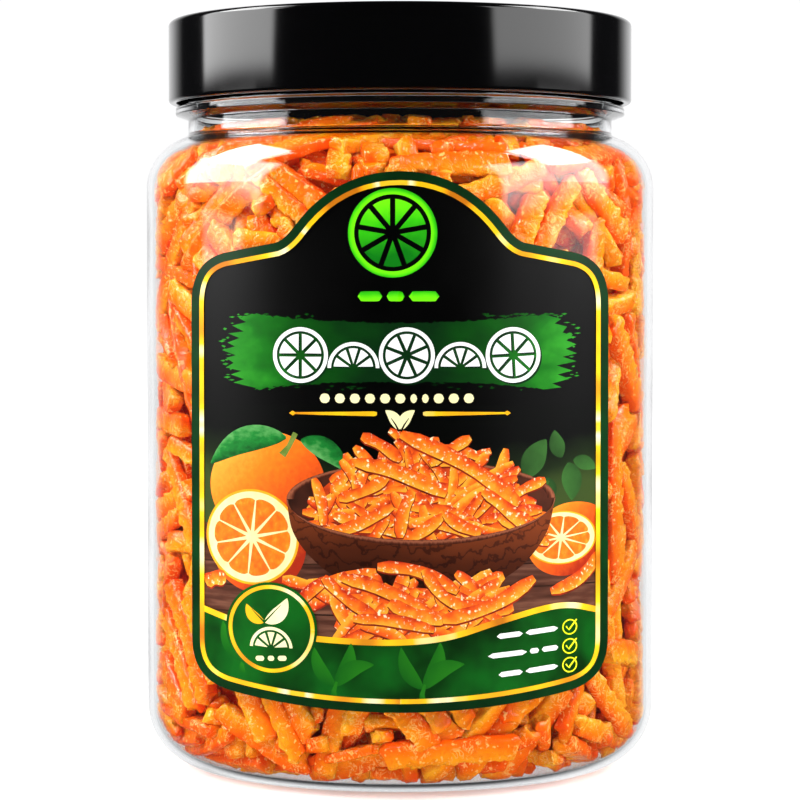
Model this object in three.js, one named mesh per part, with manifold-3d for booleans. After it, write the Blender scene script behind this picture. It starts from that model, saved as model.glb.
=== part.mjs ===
// A clear wide-mouth jar packed with candied orange peel strips: the blown jar, its screw lid,
// the shaped front label and the heap of peel. Millimetres, +Z up. The origin lies on the
// table under the jar's axis, and the label faces -Y.
import * as THREE from "three";
import { mergeVertices } from "three/addons/utils/BufferGeometryUtils.js";
import Module from "manifold-3d";

const wasm = await Module();
wasm.setup();

// All pieces
const JAR_FACETS = 48; // flats round the jar, lid and label
const GAP = 0.3; // clearance between pieces that touch
const TURN = 2 * Math.PI;

// Jar body
const BODY_RADIUS = 56;
const WALL = 1.5;
const BASE_CORNER = 13.8; // radius of the rounded edge round the base
const RING_OUTER = BODY_RADIUS - BASE_CORNER; // the flat ring that the jar stands on
const RING_INNER = 36.5;
const PUSH_UP = 2.6; // rise of the base's middle
const WALL_TOP = 127.1;
const SHOULDER_RADIUS = 11.8;

// Jar mouth
const NECK_RADIUS = 46.8;
const LEDGE_RADIUS = 49.6;
const LEDGE_FOOT = 142.3; // the ledge's underside slopes up from here
const LEDGE_EDGE = 143.3;
const LEDGE_TOP = 145;
const FINISH_RADIUS = 47.6; // the threaded cylinder above the ledge
const RIM_TOP = 161.5;
const RIM_EDGE = 0.6; // chamfer round the rim

// Lid
const LID_RADIUS = 51.1;
const LID_FOOT = 145.9;
const LID_TOP = 163.9;
const LID_WALL = 1.7;
const LID_BORE = LID_RADIUS - LID_WALL;
const LID_TOP_EDGE = 1.2; // radii of the rounded edges
const LID_FOOT_EDGE = 0.7;

// Screw thread: one bead on the neck and one in the lid, which hooks under it
const PITCH = 5;
const THREAD_TURNS = 1.15;
const THREAD_STEPS = 36;
const THREAD_FOOT = 150.6; // middle of the neck's bead where it starts
const NECK_BEAD = 1.1; // how far each bead stands out of its wall
const LID_BEAD = 1.3;
const BEAD_ROOT = 1.8; // the bead's height at the wall and at its crest
const BEAD_CREST = 1;
const BEAD_DEPTH_IN_WALL = 0.7;
const BEAD_PLAY = 0.5; // free height between the two beads

// Label, measured flat before it is wrapped: across from its middle line, and up from the table
const LABEL_HALF_WIDTH = 50.0;
const LABEL_FOOT = 18.4;
const LABEL_FOOT_SIDE = 21.6; // the bottom edge rises towards its corners
const LABEL_CORNER = 10;
const LABEL_SHOULDER = 112.8; // height where the top corner's curve ends
const LABEL_NOTCH_ACROSS = 26.4; // the notch between the sloping top and the crown
const LABEL_NOTCH = 114.4;
const LABEL_CROWN = 128.8;
const LABEL_THICK = 0.25;
const LABEL_INNER = BODY_RADIUS + GAP;

// Heap of peel
const PEEL_FACETS = 48;
const STRIP_LENGTH = 26;
const STRIP_WIDTH = 6;
const STRIP_COUNT = 420;
const RELIEF = 2.4; // how deep the heap's surface dips between strips
const PEEL_SHOULDER = 140.4; // where the heap leaves the neck's wall
const PEEL_CROWN = 143.6;
const PEEL_STEP = 7; // longest facet along the heap's outline

const point = (r, z) => new THREE.Vector2(r, z);

// Points on a circular arc, both ends included.
function arc(centreR, centreZ, radius, from, to, steps) {
  const points = [];
  for (let i = 0; i <= steps; i += 1) {
    const angle = from + ((to - from) * i) / steps;
    points.push(point(centreR + radius * Math.cos(angle), centreZ + radius * Math.sin(angle)));
  }
  return points;
}

// The jar's shell from the middle of its base to the foot of its neck, moved inwards by inset.
function bodyOutline(inset, cornerSteps) {
  const dome = [0, 0.4, 0.75].map((share) =>
    point(share * RING_INNER, PUSH_UP * (1 - share * share) + inset),
  );
  const neck = NECK_RADIUS - inset;
  const shoulderCentre = BODY_RADIUS - SHOULDER_RADIUS;
  const shoulder = SHOULDER_RADIUS - inset;
  const neckAngle = Math.acos((neck - shoulderCentre) / shoulder);
  return [
    ...dome,
    point(RING_INNER, inset),
    ...arc(RING_OUTER, BASE_CORNER, BASE_CORNER - inset, -TURN / 4, 0, cornerSteps),
    ...arc(shoulderCentre, WALL_TOP, shoulder, 0, neckAngle, cornerSteps),
  ];
}

// A piece turned about Z from an outline that runs out along its underside and up its outside.
function turned(outline, facets) {
  const geometry = new THREE.LatheGeometry(outline, facets);
  geometry.rotateX(Math.PI / 2);
  return joinedVertices(geometry);
}

function joinedVertices(geometry) {
  geometry.deleteAttribute("normal");
  geometry.deleteAttribute("uv");
  return mergeVertices(geometry, 1e-3);
}

function solid(geometry) {
  return new wasm.Manifold(
    new wasm.Mesh({
      numProp: 3,
      vertProperties: new Float32Array(geometry.attributes.position.array),
      triVerts: new Uint32Array(geometry.index.array),
    }),
  );
}

function geometryOf(manifold) {
  const mesh = manifold.getMesh();
  const geometry = new THREE.BufferGeometry();
  geometry.setAttribute("position", new THREE.BufferAttribute(mesh.vertProperties, 3));
  geometry.setIndex(new THREE.BufferAttribute(mesh.triVerts, 1));
  geometry.computeVertexNormals();
  return geometry;
}

// The right-handed helix that a thread's bead follows.
class Helix extends THREE.Curve {
  constructor(radius, foot) {
    super();
    this.radius = radius;
    this.foot = foot;
  }

  getPoint(t, target = new THREE.Vector3()) {
    const angle = TURN * THREAD_TURNS * t;
    return target.set(
      this.radius * Math.cos(angle),
      this.radius * Math.sin(angle),
      this.foot + PITCH * THREAD_TURNS * t,
    );
  }
}

// A bead of tapering section, proud of the wall on the side that outward names.
function threadBead(wallRadius, foot, proud, outward) {
  const buried = outward * BEAD_DEPTH_IN_WALL; // the section's first axis points at the jar's axis
  const crest = -outward * proud;
  const section = new THREE.Shape([
    point(buried, -BEAD_ROOT / 2),
    point(0, -BEAD_ROOT / 2),
    point(crest, -BEAD_CREST / 2),
    point(crest, BEAD_CREST / 2),
    point(0, BEAD_ROOT / 2),
    point(buried, BEAD_ROOT / 2),
  ]);
  const geometry = new THREE.ExtrudeGeometry(section, {
    steps: THREAD_STEPS,
    extrudePath: new Helix(wallRadius, foot),
  });
  return solid(joinedVertices(geometry));
}

// Blown jar: one shell from the push-up base to the rim, with its ledge and neck thread.
function jarGeometry() {
  const outside = [
    ...bodyOutline(0, 5),
    point(NECK_RADIUS, LEDGE_FOOT),
    point(LEDGE_RADIUS, LEDGE_EDGE),
    point(LEDGE_RADIUS, LEDGE_TOP),
    point(FINISH_RADIUS, LEDGE_TOP),
    point(FINISH_RADIUS, RIM_TOP - RIM_EDGE),
    point(FINISH_RADIUS - RIM_EDGE, RIM_TOP),
  ];
  const inside = [...bodyOutline(WALL, 4), point(NECK_RADIUS - WALL, RIM_TOP)];
  const shell = solid(turned([...outside, ...inside.reverse()], JAR_FACETS));
  return geometryOf(shell.add(threadBead(FINISH_RADIUS, THREAD_FOOT, NECK_BEAD, 1)));
}

// Moulded lid: a flat top with a smooth skirt, and a bead inside that hooks under the neck's.
function lidGeometry() {
  const outline = [
    point(0, RIM_TOP + GAP),
    point(LID_BORE, RIM_TOP + GAP),
    point(LID_BORE, LID_FOOT),
    ...arc(
      LID_RADIUS - LID_FOOT_EDGE,
      LID_FOOT + LID_FOOT_EDGE,
      LID_FOOT_EDGE,
      -TURN / 4,
      0,
      2,
    ),
    ...arc(LID_RADIUS - LID_TOP_EDGE, LID_TOP - LID_TOP_EDGE, LID_TOP_EDGE, 0, TURN / 4, 3),
    point(0, LID_TOP),
  ];
  const shell = solid(turned(outline, JAR_FACETS));
  const foot = THREAD_FOOT - BEAD_ROOT - BEAD_PLAY;
  return geometryOf(shell.add(threadBead(LID_BORE, foot, LID_BEAD, -1)));
}

// Half of the label's outline, flat, from the middle of its foot to the top of its crown.
function labelHalfOutline() {
  const path = new THREE.Path();
  const side = LABEL_HALF_WIDTH;
  path.moveTo(0, LABEL_FOOT);
  path.quadraticCurveTo(
    side / 3,
    LABEL_FOOT,
    side - LABEL_CORNER * 1.1,
    LABEL_FOOT_SIDE,
  );
  path.quadraticCurveTo(side, LABEL_FOOT_SIDE + 2, side, LABEL_FOOT_SIDE + LABEL_CORNER);
  path.lineTo(side, LABEL_SHOULDER - LABEL_CORNER * 1.1);
  path.quadraticCurveTo(side, LABEL_SHOULDER - 2.5, side - LABEL_CORNER, LABEL_SHOULDER - 0.4);
  path.lineTo(LABEL_NOTCH_ACROSS, LABEL_NOTCH);
  path.quadraticCurveTo(
    LABEL_NOTCH_ACROSS - 2,
    LABEL_NOTCH + 0.6,
    LABEL_NOTCH_ACROSS - 4,
    LABEL_NOTCH + 3,
  );
  path.quadraticCurveTo(LABEL_NOTCH_ACROSS / 2, LABEL_CROWN, 0, LABEL_CROWN);
  return path.getPoints(6);
}

// Printed label: a thin skin cut to the outline out of a ring just clear of the jar's wall.
function labelGeometry() {
  const half = labelHalfOutline();
  const mirrored = half
    .slice(1, -1)
    .reverse()
    .map((p) => point(-p.x, p.y));
  const outline = [...half, ...mirrored].map((p) =>
    point(LABEL_INNER * Math.sin(p.x / LABEL_INNER), p.y),
  );
  const cutter = new THREE.ExtrudeGeometry(new THREE.Shape(outline), {
    depth: BODY_RADIUS * 1.2,
    bevelEnabled: false,
  });
  cutter.rotateX(Math.PI / 2);
  const outer = LABEL_INNER + LABEL_THICK;
  const foot = LABEL_FOOT - GAP;
  const top = LABEL_CROWN + GAP;
  const ring = turned(
    [
      point(LABEL_INNER, foot),
      point(outer, foot),
      point(outer, top),
      point(LABEL_INNER, top),
      point(LABEL_INNER, foot),
    ],
    JAR_FACETS,
  );
  return geometryOf(solid(ring).intersect(solid(joinedVertices(cutter))));
}

// A repeatable value from 0 to 1 for a strip's number.
function scatter(number, kind) {
  const wave = Math.sin(number * 12.9898 + kind * 78.233) * 43758.5453;
  return wave - Math.floor(wave);
}

// The strips that lie on the heap's surface, spread evenly by the golden angle.
function surfaceStrips(outlineLength) {
  const goldenAngle = TURN * 0.381966;
  const strips = [];
  for (let i = 0; i < STRIP_COUNT; i += 1) {
    strips.push({
      around: (i * goldenAngle) % TURN,
      along: ((i + 0.5) / STRIP_COUNT) * outlineLength,
      lean: (scatter(i, 1) * TURN) / 2,
      height: 0.6 + 0.4 * scatter(i, 2),
    });
  }
  return strips;
}

// How much of the full relief is filled at a place on the heap: 1 on a strip's crest.
function stripHeight(strips, around, along, radius) {
  let highest = 0;
  for (const strip of strips) {
    const turnAway = ((around - strip.around + 1.5 * TURN) % TURN) - TURN / 2;
    const across = turnAway * radius;
    const up = along - strip.along;
    const lengthwise = (across * Math.cos(strip.lean) + up * Math.sin(strip.lean)) / STRIP_LENGTH;
    const sideways = (up * Math.cos(strip.lean) - across * Math.sin(strip.lean)) / STRIP_WIDTH;
    const rounded = 1 - (2 * lengthwise) ** 4 - (2 * sideways) ** 2;
    highest = Math.max(highest, strip.height * Math.min(1, rounded));
  }
  return highest;
}

// The heap's smooth envelope, GAP inside the jar and slightly domed on top.
function peelEnvelope() {
  const inset = WALL + GAP;
  const neck = NECK_RADIUS - inset;
  const crown = new THREE.QuadraticBezierCurve(
    point(neck, PEEL_SHOULDER),
    point(neck - 1, PEEL_CROWN - 0.5),
    point(neck * 0.7, PEEL_CROWN),
  );
  return [...bodyOutline(inset, 5), ...crown.getPoints(3), point(0, PEEL_CROWN)];
}

// The same outline with its long straight runs divided into even steps.
function divided(outline, longest) {
  const points = [outline[0]];
  for (let i = 1; i < outline.length; i += 1) {
    const from = outline[i - 1];
    const steps = Math.ceil(from.distanceTo(outline[i]) / longest);
    for (let step = 1; step <= steps; step += 1) {
      points.push(from.clone().lerp(outline[i], step / steps));
    }
  }
  return points;
}

// Heap of peel: the envelope with its surface dipping between the outermost strips.
function peelGeometry() {
  const outline = divided(peelEnvelope(), PEEL_STEP);
  const last = outline.length - 1;
  const along = [0];
  for (let row = 1; row <= last; row += 1) {
    along.push(along[row - 1] + outline[row].distanceTo(outline[row - 1]));
  }
  const strips = surfaceStrips(along[last]);
  const geometry = new THREE.LatheGeometry(outline, PEEL_FACETS);
  const position = geometry.getAttribute("position");
  for (let i = 0; i < position.count; i += 1) {
    const row = i % outline.length;
    if (row > 0 && row < last) {
      const around = ((Math.floor(i / outline.length) % PEEL_FACETS) / PEEL_FACETS) * TURN;
      const place = outline[row];
      const run = outline[row + 1].clone().sub(outline[row - 1]).normalize();
      const dip = RELIEF * (1 - stripHeight(strips, around, along[row], place.x));
      const radius = place.x - run.y * dip;
      const height = place.y + run.x * dip;
      position.setXYZ(i, radius * Math.sin(around), height, radius * Math.cos(around));
    }
  }
  geometry.rotateX(Math.PI / 2);
  return joinedVertices(geometry);
}

function piece(name, geometry, finish) {
  const mesh = new THREE.Mesh(geometry, new THREE.MeshStandardMaterial(finish));
  mesh.name = name;
  return mesh;
}

const group = new THREE.Group();
group.add(
  piece("jar", jarGeometry(), {
    color: 0xf4f7f8,
    roughness: 0.05,
    metalness: 0,
    transparent: true,
    opacity: 0.25,
  }),
  piece("lid", lidGeometry(), { color: 0x0c0c0e, roughness: 0.18, metalness: 0 }),
  piece("label", labelGeometry(), { color: 0x0a3d14, roughness: 0.35, metalness: 0 }),
  piece("peel", peelGeometry(), { color: 0xe8741a, roughness: 0.3, metalness: 0 }),
);

export default group;
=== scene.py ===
import itertools
import math

import bmesh
import bpy
import numpy as np
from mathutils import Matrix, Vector
from mathutils.geometry import tessellate_polygon


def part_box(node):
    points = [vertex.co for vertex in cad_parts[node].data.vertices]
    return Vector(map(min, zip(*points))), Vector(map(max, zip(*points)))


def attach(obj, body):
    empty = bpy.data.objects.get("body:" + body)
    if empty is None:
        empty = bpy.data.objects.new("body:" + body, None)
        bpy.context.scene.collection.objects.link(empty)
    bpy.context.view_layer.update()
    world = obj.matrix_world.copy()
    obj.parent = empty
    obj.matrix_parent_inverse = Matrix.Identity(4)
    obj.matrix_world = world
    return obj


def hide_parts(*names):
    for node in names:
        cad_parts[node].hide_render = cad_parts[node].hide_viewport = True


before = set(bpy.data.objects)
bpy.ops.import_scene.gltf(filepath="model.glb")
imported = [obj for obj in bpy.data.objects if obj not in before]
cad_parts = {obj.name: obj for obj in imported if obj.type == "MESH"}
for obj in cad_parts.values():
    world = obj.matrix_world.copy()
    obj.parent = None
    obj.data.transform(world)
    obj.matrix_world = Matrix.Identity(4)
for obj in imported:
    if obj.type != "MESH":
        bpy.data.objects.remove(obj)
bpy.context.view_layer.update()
mm = 0.001

# ---------------------------------------------------------------------------------------------
# The view: a long lens a little above the jar's middle, looking slightly down, as for a shop's
# catalogue. The label faces it.
view_distance = 668 * mm
view_height = 102.07 * mm
view_down = math.radians(1.85)


def linked(name, data):
    """An object of its own for a mesh, a light or a camera."""
    made = bpy.data.objects.new(name, data)
    bpy.context.scene.collection.objects.link(made)
    return made


camera_data = bpy.data.cameras.new("camera")
camera_data.sensor_width = 36
camera_data.lens = 135.3
camera = linked("camera", camera_data)
camera.location = (0, -view_distance, view_height)
camera.rotation_euler = (math.pi / 2 - view_down, 0, 0)
bpy.context.scene.camera = camera

# ---------------------------------------------------------------------------------------------
# The jar: one piece of clear plastic, blown from a moulded preform. The neck, its ledge and the
# thread come from the preform and stay thick; the body is an even wall with a pushed-up base.
_, jar_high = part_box("jar")
body_radius = jar_high.x / mm
rim_top = jar_high.z / mm
wall = 1.5
jar_sides = 192
arc_step = 0.13  # the most that an outline turns from one point of an arc to the next, in radians
sharp_edge = math.radians(50)
base_corner = 13.8
ring_inner = 37.2  # the flat ring it stands on runs from here to the rounded corner
push_up = 2.6
dome_fillet = 8
ring_fillet = 2.5
wall_top = 127.1
shoulder_radius = 11.8
neck_radius = 46.8
neck_fillet = 0.9
ledge_radius = 49.6
ledge_foot = 142.3
ledge_top = 145.0
finish_radius = 47.6
pitch = 5.0
thread_foot = 150.6
thread_turns = 1.15
fade_rate = 14  # the bead rises over one fourteenth of a turn at either end
thread_row = 0.3  # between the rows of a threaded wall
bead_root = 1.8
bead_crest = 1.0
neck_bead = 1.1


def filleted(corners, steps=5):
    """An outline of (r, z) points from corners (r, z, fillet radius), each rounded by an arc."""
    points = []
    for i, (r, z, fillet) in enumerate(corners):
        here = Vector((r, z))
        if fillet == 0 or i in (0, len(corners) - 1):
            points.append(tuple(here))
            continue
        before = (Vector(corners[i - 1][:2]) - here).normalized()
        after = (Vector(corners[i + 1][:2]) - here).normalized()
        half_angle = before.angle(after) / 2
        centre = here + (before + after).normalized() * (fillet / math.sin(half_angle))
        start = here + before * (fillet / math.tan(half_angle)) - centre
        end = here + after * (fillet / math.tan(half_angle)) - centre
        turn = math.pi - 2 * half_angle
        count = max(steps, math.ceil(turn / arc_step))
        for step in range(count + 1):
            share = step / count
            weights = (math.sin((1 - share) * turn), math.sin(share * turn))
            arm = (start * weights[0] + end * weights[1]) / math.sin(turn)
            points.append(tuple(centre + arm))
    return points


def turned(name, outline, sides, change=None):
    """A piece turned about Z from an outline in millimetres; change moves (angle, r, z) arrays."""
    angles = np.arange(sides) * 2 * math.pi / sides
    radius, height = np.array(outline).T
    on_axis = radius < 1e-6
    rings, points = [], []
    count = 0
    for r, z, pole in zip(radius, height, on_axis):
        if pole:
            points.append([[0.0, 0.0, z]])
            rings.append([count] * sides)
            count += 1
            continue
        shift = change(angles, r, z) if change else 0.0
        ring_r = r + shift
        points.append(
            np.stack([ring_r * np.sin(angles), -ring_r * np.cos(angles), np.full(sides, z)], 1)
        )
        rings.append(list(range(count, count + sides)))
        count += sides
    faces = []
    for lower, upper in zip(rings[:-1], rings[1:]):
        for side in range(sides):
            after = (side + 1) % sides
            corners = [lower[side], lower[after], upper[after], upper[side]]
            faces.append(list(dict.fromkeys(corners)))
    mesh = bpy.data.meshes.new(name)
    mesh.from_pydata((np.concatenate(points) * mm).tolist(), [], faces)
    mesh.shade_smooth()
    mesh.set_sharp_from_angle(angle=sharp_edge)
    return linked(name, mesh)


def shoulder_corners(inset):
    """The two corners of the shoulder: above the wall, and where it meets the neck."""
    arc_radius = shoulder_radius - inset
    arc_centre = body_radius - shoulder_radius
    neck = neck_radius - inset
    angle = math.acos((neck - arc_centre) / arc_radius)
    foot = wall_top + arc_radius * math.sin(angle)
    rise = (body_radius - inset - neck) / math.sin(angle) * math.cos(angle)
    return (body_radius - inset, foot - rise, arc_radius), (neck, foot, neck_fillet)


def base_corners(inset):
    """The base from its middle out: push-up dome, standing ring and rounded corner."""
    dome = [
        (share * ring_inner, push_up * (1 - share**2) + inset, 0 if share == 0 else dome_fillet)
        for share in (0, 0.3, 0.55, 0.78)
    ]
    ring = (ring_inner, inset, ring_fillet)
    return [*dome, ring, (body_radius - inset, inset, base_corner - inset)]


def thread_bulge(angles, height, foot, proud):
    """How far a screw thread's bead stands out of its wall at a height, for each angle."""
    bulge = np.zeros_like(angles)
    for lap in (0, 1):
        turns = (angles + math.pi / 2) / (2 * math.pi) % 1 + lap
        off_middle = np.abs(height - foot - pitch * turns)
        slope = (bead_root / 2 - off_middle) / ((bead_root - bead_crest) / 2)
        fade = np.clip((thread_turns - turns) * fade_rate, 0, 1)
        fade = fade * np.clip(turns * fade_rate, 0, 1)
        bulge = np.maximum(bulge, proud * np.clip(slope, 0, 1) * fade)
    return bulge


def rows_between(radius, low, high, step):
    """Outline corners at even heights on a straight wall, so that a thread can stand on it."""
    count = round(abs(high - low) / step)
    return [(radius, low + (high - low) * i / count, 0) for i in range(1, count)]


def neck_thread(angles, r, z):
    if r < finish_radius - 0.1 or z < ledge_top + 1:
        return 0.0
    return thread_bulge(angles, z, thread_foot, neck_bead)


outer_shell = [
    *base_corners(0),
    *shoulder_corners(0),
    (neck_radius, ledge_foot, 0.5),
    (ledge_radius, ledge_foot + 1, 0.35),
    (ledge_radius, ledge_top, 0.4),
    (finish_radius, ledge_top, 0.4),
    *rows_between(finish_radius, ledge_top + 1, rim_top - 1, thread_row),
    (finish_radius, rim_top, 0.6),
]
inner_shell = [(neck_radius - wall, rim_top, 0.6), *reversed(shoulder_corners(wall))]
inner_shell += reversed(base_corners(wall))
jar = turned("jar_shell", filleted(outer_shell + inner_shell), jar_sides, neck_thread)


def new_material(name):
    """A material, its nodes and its main shader."""
    material = bpy.data.materials.new(name)
    material.use_nodes = True
    nodes = material.node_tree.nodes
    return material, nodes, nodes["Principled BSDF"]


def plug(shader_node, inputs):
    """Gives a node's inputs their values, or links them to another node's output."""
    for name, value in inputs.items():
        if isinstance(value, bpy.types.NodeSocket):
            shader_node.id_data.links.new(value, shader_node.inputs[name])
        else:
            shader_node.inputs[name].default_value = value


def node(nodes, kind, inputs=None, **settings):
    """A shader node with its properties and inputs set."""
    made = nodes.new(kind)
    for name, value in settings.items():
        setattr(made, name, value)
    plug(made, inputs or {})
    return made


# Clear plastic: shadow rays pass straight through, so the light reaches the peel inside.
clear_plastic, nodes, shader = new_material("clear_plastic")
plug(shader, {"Base Color": (0.97, 0.985, 0.99, 1), "Transmission Weight": 1, "IOR": 1.57})
place = node(nodes, "ShaderNodeTexCoord")
ripple = node(nodes, "ShaderNodeTexNoise", {
    "Scale": 28, "Detail": 1, "Vector": place.outputs["Object"],
})
haze = node(nodes, "ShaderNodeMapRange", {
    "To Min": 0.0, "To Max": 0.02, "Value": ripple.outputs["Fac"],
})
plug(shader, {"Roughness": haze.outputs["Result"]})
waves = node(nodes, "ShaderNodeBump", {
    "Strength": 0.25, "Distance": 0.35 * mm, "Height": ripple.outputs["Fac"],
})
plug(shader, {"Normal": waves.outputs["Normal"]})
ray = node(nodes, "ShaderNodeLightPath")
clear = node(nodes, "ShaderNodeBsdfTransparent", {"Color": (0.95, 0.96, 0.965, 1)})
for_diffuse = node(nodes, "ShaderNodeMixShader", {
    "Fac": ray.outputs["Is Diffuse Ray"], 1: shader.outputs["BSDF"], 2: clear.outputs["BSDF"],
})
for_shadow = node(nodes, "ShaderNodeMixShader", {
    "Fac": ray.outputs["Is Shadow Ray"], 1: for_diffuse.outputs["Shader"],
    2: clear.outputs["BSDF"],
})
plug(nodes["Material Output"], {"Surface": for_shadow.outputs["Shader"]})

jar.data.materials.append(clear_plastic)
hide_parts("jar")
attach(jar, "root")

# ---------------------------------------------------------------------------------------------
# The lid: moulded in glossy black plastic, with a smooth skirt, a flat top, softly rounded
# edges and a thread bead inside that hooks under the neck's.
lid_low, lid_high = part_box("lid")
lid_radius = lid_high.x / mm
lid_top = lid_high.z / mm
lid_foot = lid_low.z / mm
lid_wall = 1.7
lid_bore = lid_radius - lid_wall
lid_ceiling = rim_top + 0.3  # clear of the rim
lid_bead = 1.3
bead_play = 0.5


def lid_thread(angles, r, z):
    if abs(r - lid_bore) > 0.01:
        return 0.0
    return -thread_bulge(angles, z, thread_foot - bead_root - bead_play, lid_bead)


lid_outline = [
    (0, lid_ceiling, 0),
    (lid_bore, lid_ceiling, 0.6),
    *rows_between(lid_bore, lid_ceiling - 1, lid_foot + 0.6, thread_row),
    (lid_bore, lid_foot, 0.3),
    (lid_radius, lid_foot, 0.8),
    (lid_radius, lid_top, 1.2),
    (lid_radius - 3.5, lid_top, 0),
    (0, lid_top, 0),
]
lid = turned("lid_cap", filleted(lid_outline), jar_sides, lid_thread)

black_plastic, nodes, shader = new_material("gloss_black_plastic")
plug(shader, {"Specular IOR Level": 0.5, "IOR": 1.5})
place = node(nodes, "ShaderNodeTexCoord")
flow = node(nodes, "ShaderNodeTexNoise", {
    "Scale": 60, "Detail": 4, "Vector": place.outputs["Object"],
})
polish = node(nodes, "ShaderNodeMapRange", {
    "To Min": 0.07, "To Max": 0.13, "Value": flow.outputs["Fac"],
})
plug(shader, {"Roughness": polish.outputs["Result"]})
tone = node(nodes, "ShaderNodeMix", {
    "A": (0.0002, 0.0002, 0.0003, 1), "B": (0.0005, 0.0005, 0.0006, 1),
    "Factor": flow.outputs["Fac"],
}, data_type="RGBA")
plug(shader, {"Base Color": tone.outputs["Result"]})
sheen_waves = node(nodes, "ShaderNodeBump", {
    "Strength": 0.04, "Distance": 0.2 * mm, "Height": flow.outputs["Fac"],
})
plug(shader, {"Normal": sheen_waves.outputs["Normal"]})

lid.data.materials.append(black_plastic)
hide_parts("lid")
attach(lid, "root")

# ---------------------------------------------------------------------------------------------
# The peel: sticks cut from thick orange peel, boiled in syrup and dried, so that each has an
# orange rind edge, an amber pith edge and a sugar glaze. Poured in and shaken down, they cross
# at all angles along the wall, and hide a lumpy core of packed peel.
_, peel_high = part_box("peel")
heap_crown = peel_high.z / mm
strip_count = 880
row_grains = 9  # a strip is two rows of round grains while it settles
half_row = 0.95  # the two rows lie this far from the strip's middle line
heap_depth = 10.5  # from the heap's outside in to the core
wall_clearance = 0.6  # the strips' bumps stay this far off the plastic
crown_gap = 1.2
crown_drop = 2.6  # the heap's top falls by this much towards the neck
rng = np.random.default_rng(11)

strip_length = rng.uniform(21, 37, strip_count)
strip_length[rng.random(strip_count) < 0.12] *= 0.6
strip_half = rng.uniform(1.35, 1.8, strip_count)  # half the cut thickness
bend_radius = rng.uniform(45, 220, strip_count)


def heap_outline(depth):
    """Radii and heights along the heap's envelope, moved inwards by depth."""
    inset = wall + depth
    corner = base_corner - inset
    low, high = [], []
    for share in np.linspace(0, 1, 16):
        low.append((share * (body_radius - base_corner), push_up * (1 - share**2) + inset))
        high.append(((neck_radius - inset) * (1 - share), heap_crown - depth))
    angle = np.linspace(-math.pi / 2, 0, 16)
    ring = body_radius - base_corner
    corner_points = np.stack(
        [ring + corner * np.cos(angle), base_corner + corner * np.sin(angle)], 1
    )
    shoulder_angle = np.linspace(0, 1.45, 12)
    arc = shoulder_radius - inset
    centre = body_radius - shoulder_radius
    shoulder_points = np.stack(
        [centre + arc * np.cos(shoulder_angle), wall_top + arc * np.sin(shoulder_angle)], 1
    )
    return np.concatenate([low[:-1], corner_points, shoulder_points, high])


def confine(points, reach):
    """Moves grains of radius reach back inside the jar and out of the core."""
    x, y, z = points[..., 0], points[..., 1], points[..., 2]
    r = np.hypot(x, y) + 1e-9
    new_r, new_z = r.copy(), z.copy()
    clear = wall + wall_clearance + reach
    ring = body_radius - base_corner
    # base and its rounded corner
    floor = push_up * np.clip(1 - (new_r / ring_inner) ** 2, 0, 1) + clear
    new_z = np.maximum(new_z, floor)
    out_r, down = new_r - ring, base_corner - new_z
    away = np.hypot(out_r, down) + 1e-9
    room = base_corner - clear
    corner = (out_r > 0) & (down > 0) & (away > room)
    new_r = np.where(corner, ring + out_r / away * room, new_r)
    new_z = np.where(corner, base_corner - down / away * room, new_z)
    # wall
    new_r = np.minimum(new_r, body_radius - clear)
    # shoulder
    centre = body_radius - shoulder_radius
    out_r, up = new_r - centre, new_z - wall_top
    away = np.hypot(out_r, up) + 1e-9
    room = shoulder_radius - clear
    shoulder = (out_r > 0) & (up > 0) & (away > room)
    new_r = np.where(shoulder, centre + out_r / away * room, new_r)
    new_z = np.where(shoulder, wall_top + up / away * room, new_z)
    # neck and crown
    in_neck = new_z > wall_top + room
    new_r = np.where(in_neck, np.minimum(new_r, neck_radius - clear), new_r)
    crown = heap_crown - crown_gap - reach - crown_drop * (new_r / neck_radius) ** 4
    new_z = np.minimum(new_z, crown)
    # core
    core_r = body_radius - wall - heap_depth + reach
    core_low, core_high = wall + heap_depth - reach, heap_crown - heap_depth + reach
    inside = (new_r < core_r) & (new_z > core_low) & (new_z < core_high)
    gaps = np.stack([core_r - new_r, new_z - core_low, core_high - new_z])
    nearest = np.argmin(gaps, 0)
    new_r = np.where(inside & (nearest == 0), core_r, new_r)
    new_z = np.where(inside & (nearest == 1), core_low, new_z)
    new_z = np.where(inside & (nearest == 2), core_high, new_z)
    scale = new_r / r
    return np.stack([x * scale, y * scale, new_z], -1)


def strip_shapes():
    """Each strip's grains at rest: two rows along a gentle arc that lies in the cut face."""
    share = np.linspace(-0.5, 0.5, row_grains)
    along = share[None, :] * (strip_length - 2 * strip_half)[:, None]
    angle = along / bend_radius[:, None]
    shapes = np.zeros((strip_count, 2, row_grains, 3))
    for row, side in enumerate((-half_row, half_row)):
        arc_radius = bend_radius[:, None] + side
        shapes[:, row, :, 0] = arc_radius * np.sin(angle)
        shapes[:, row, :, 1] = arc_radius * np.cos(angle) - bend_radius[:, None]
    shapes[..., 2] = 0.9 * np.sin(share * 2.2 + rng.uniform(-1, 1, strip_count)[:, None])[:, None]
    return shapes - shapes.mean((1, 2), keepdims=True)


layer_count = 4
layer_step = 2.5
tries = 10  # the places tried for each strip, of which the one with most room is kept
elbow_room = 5


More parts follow.
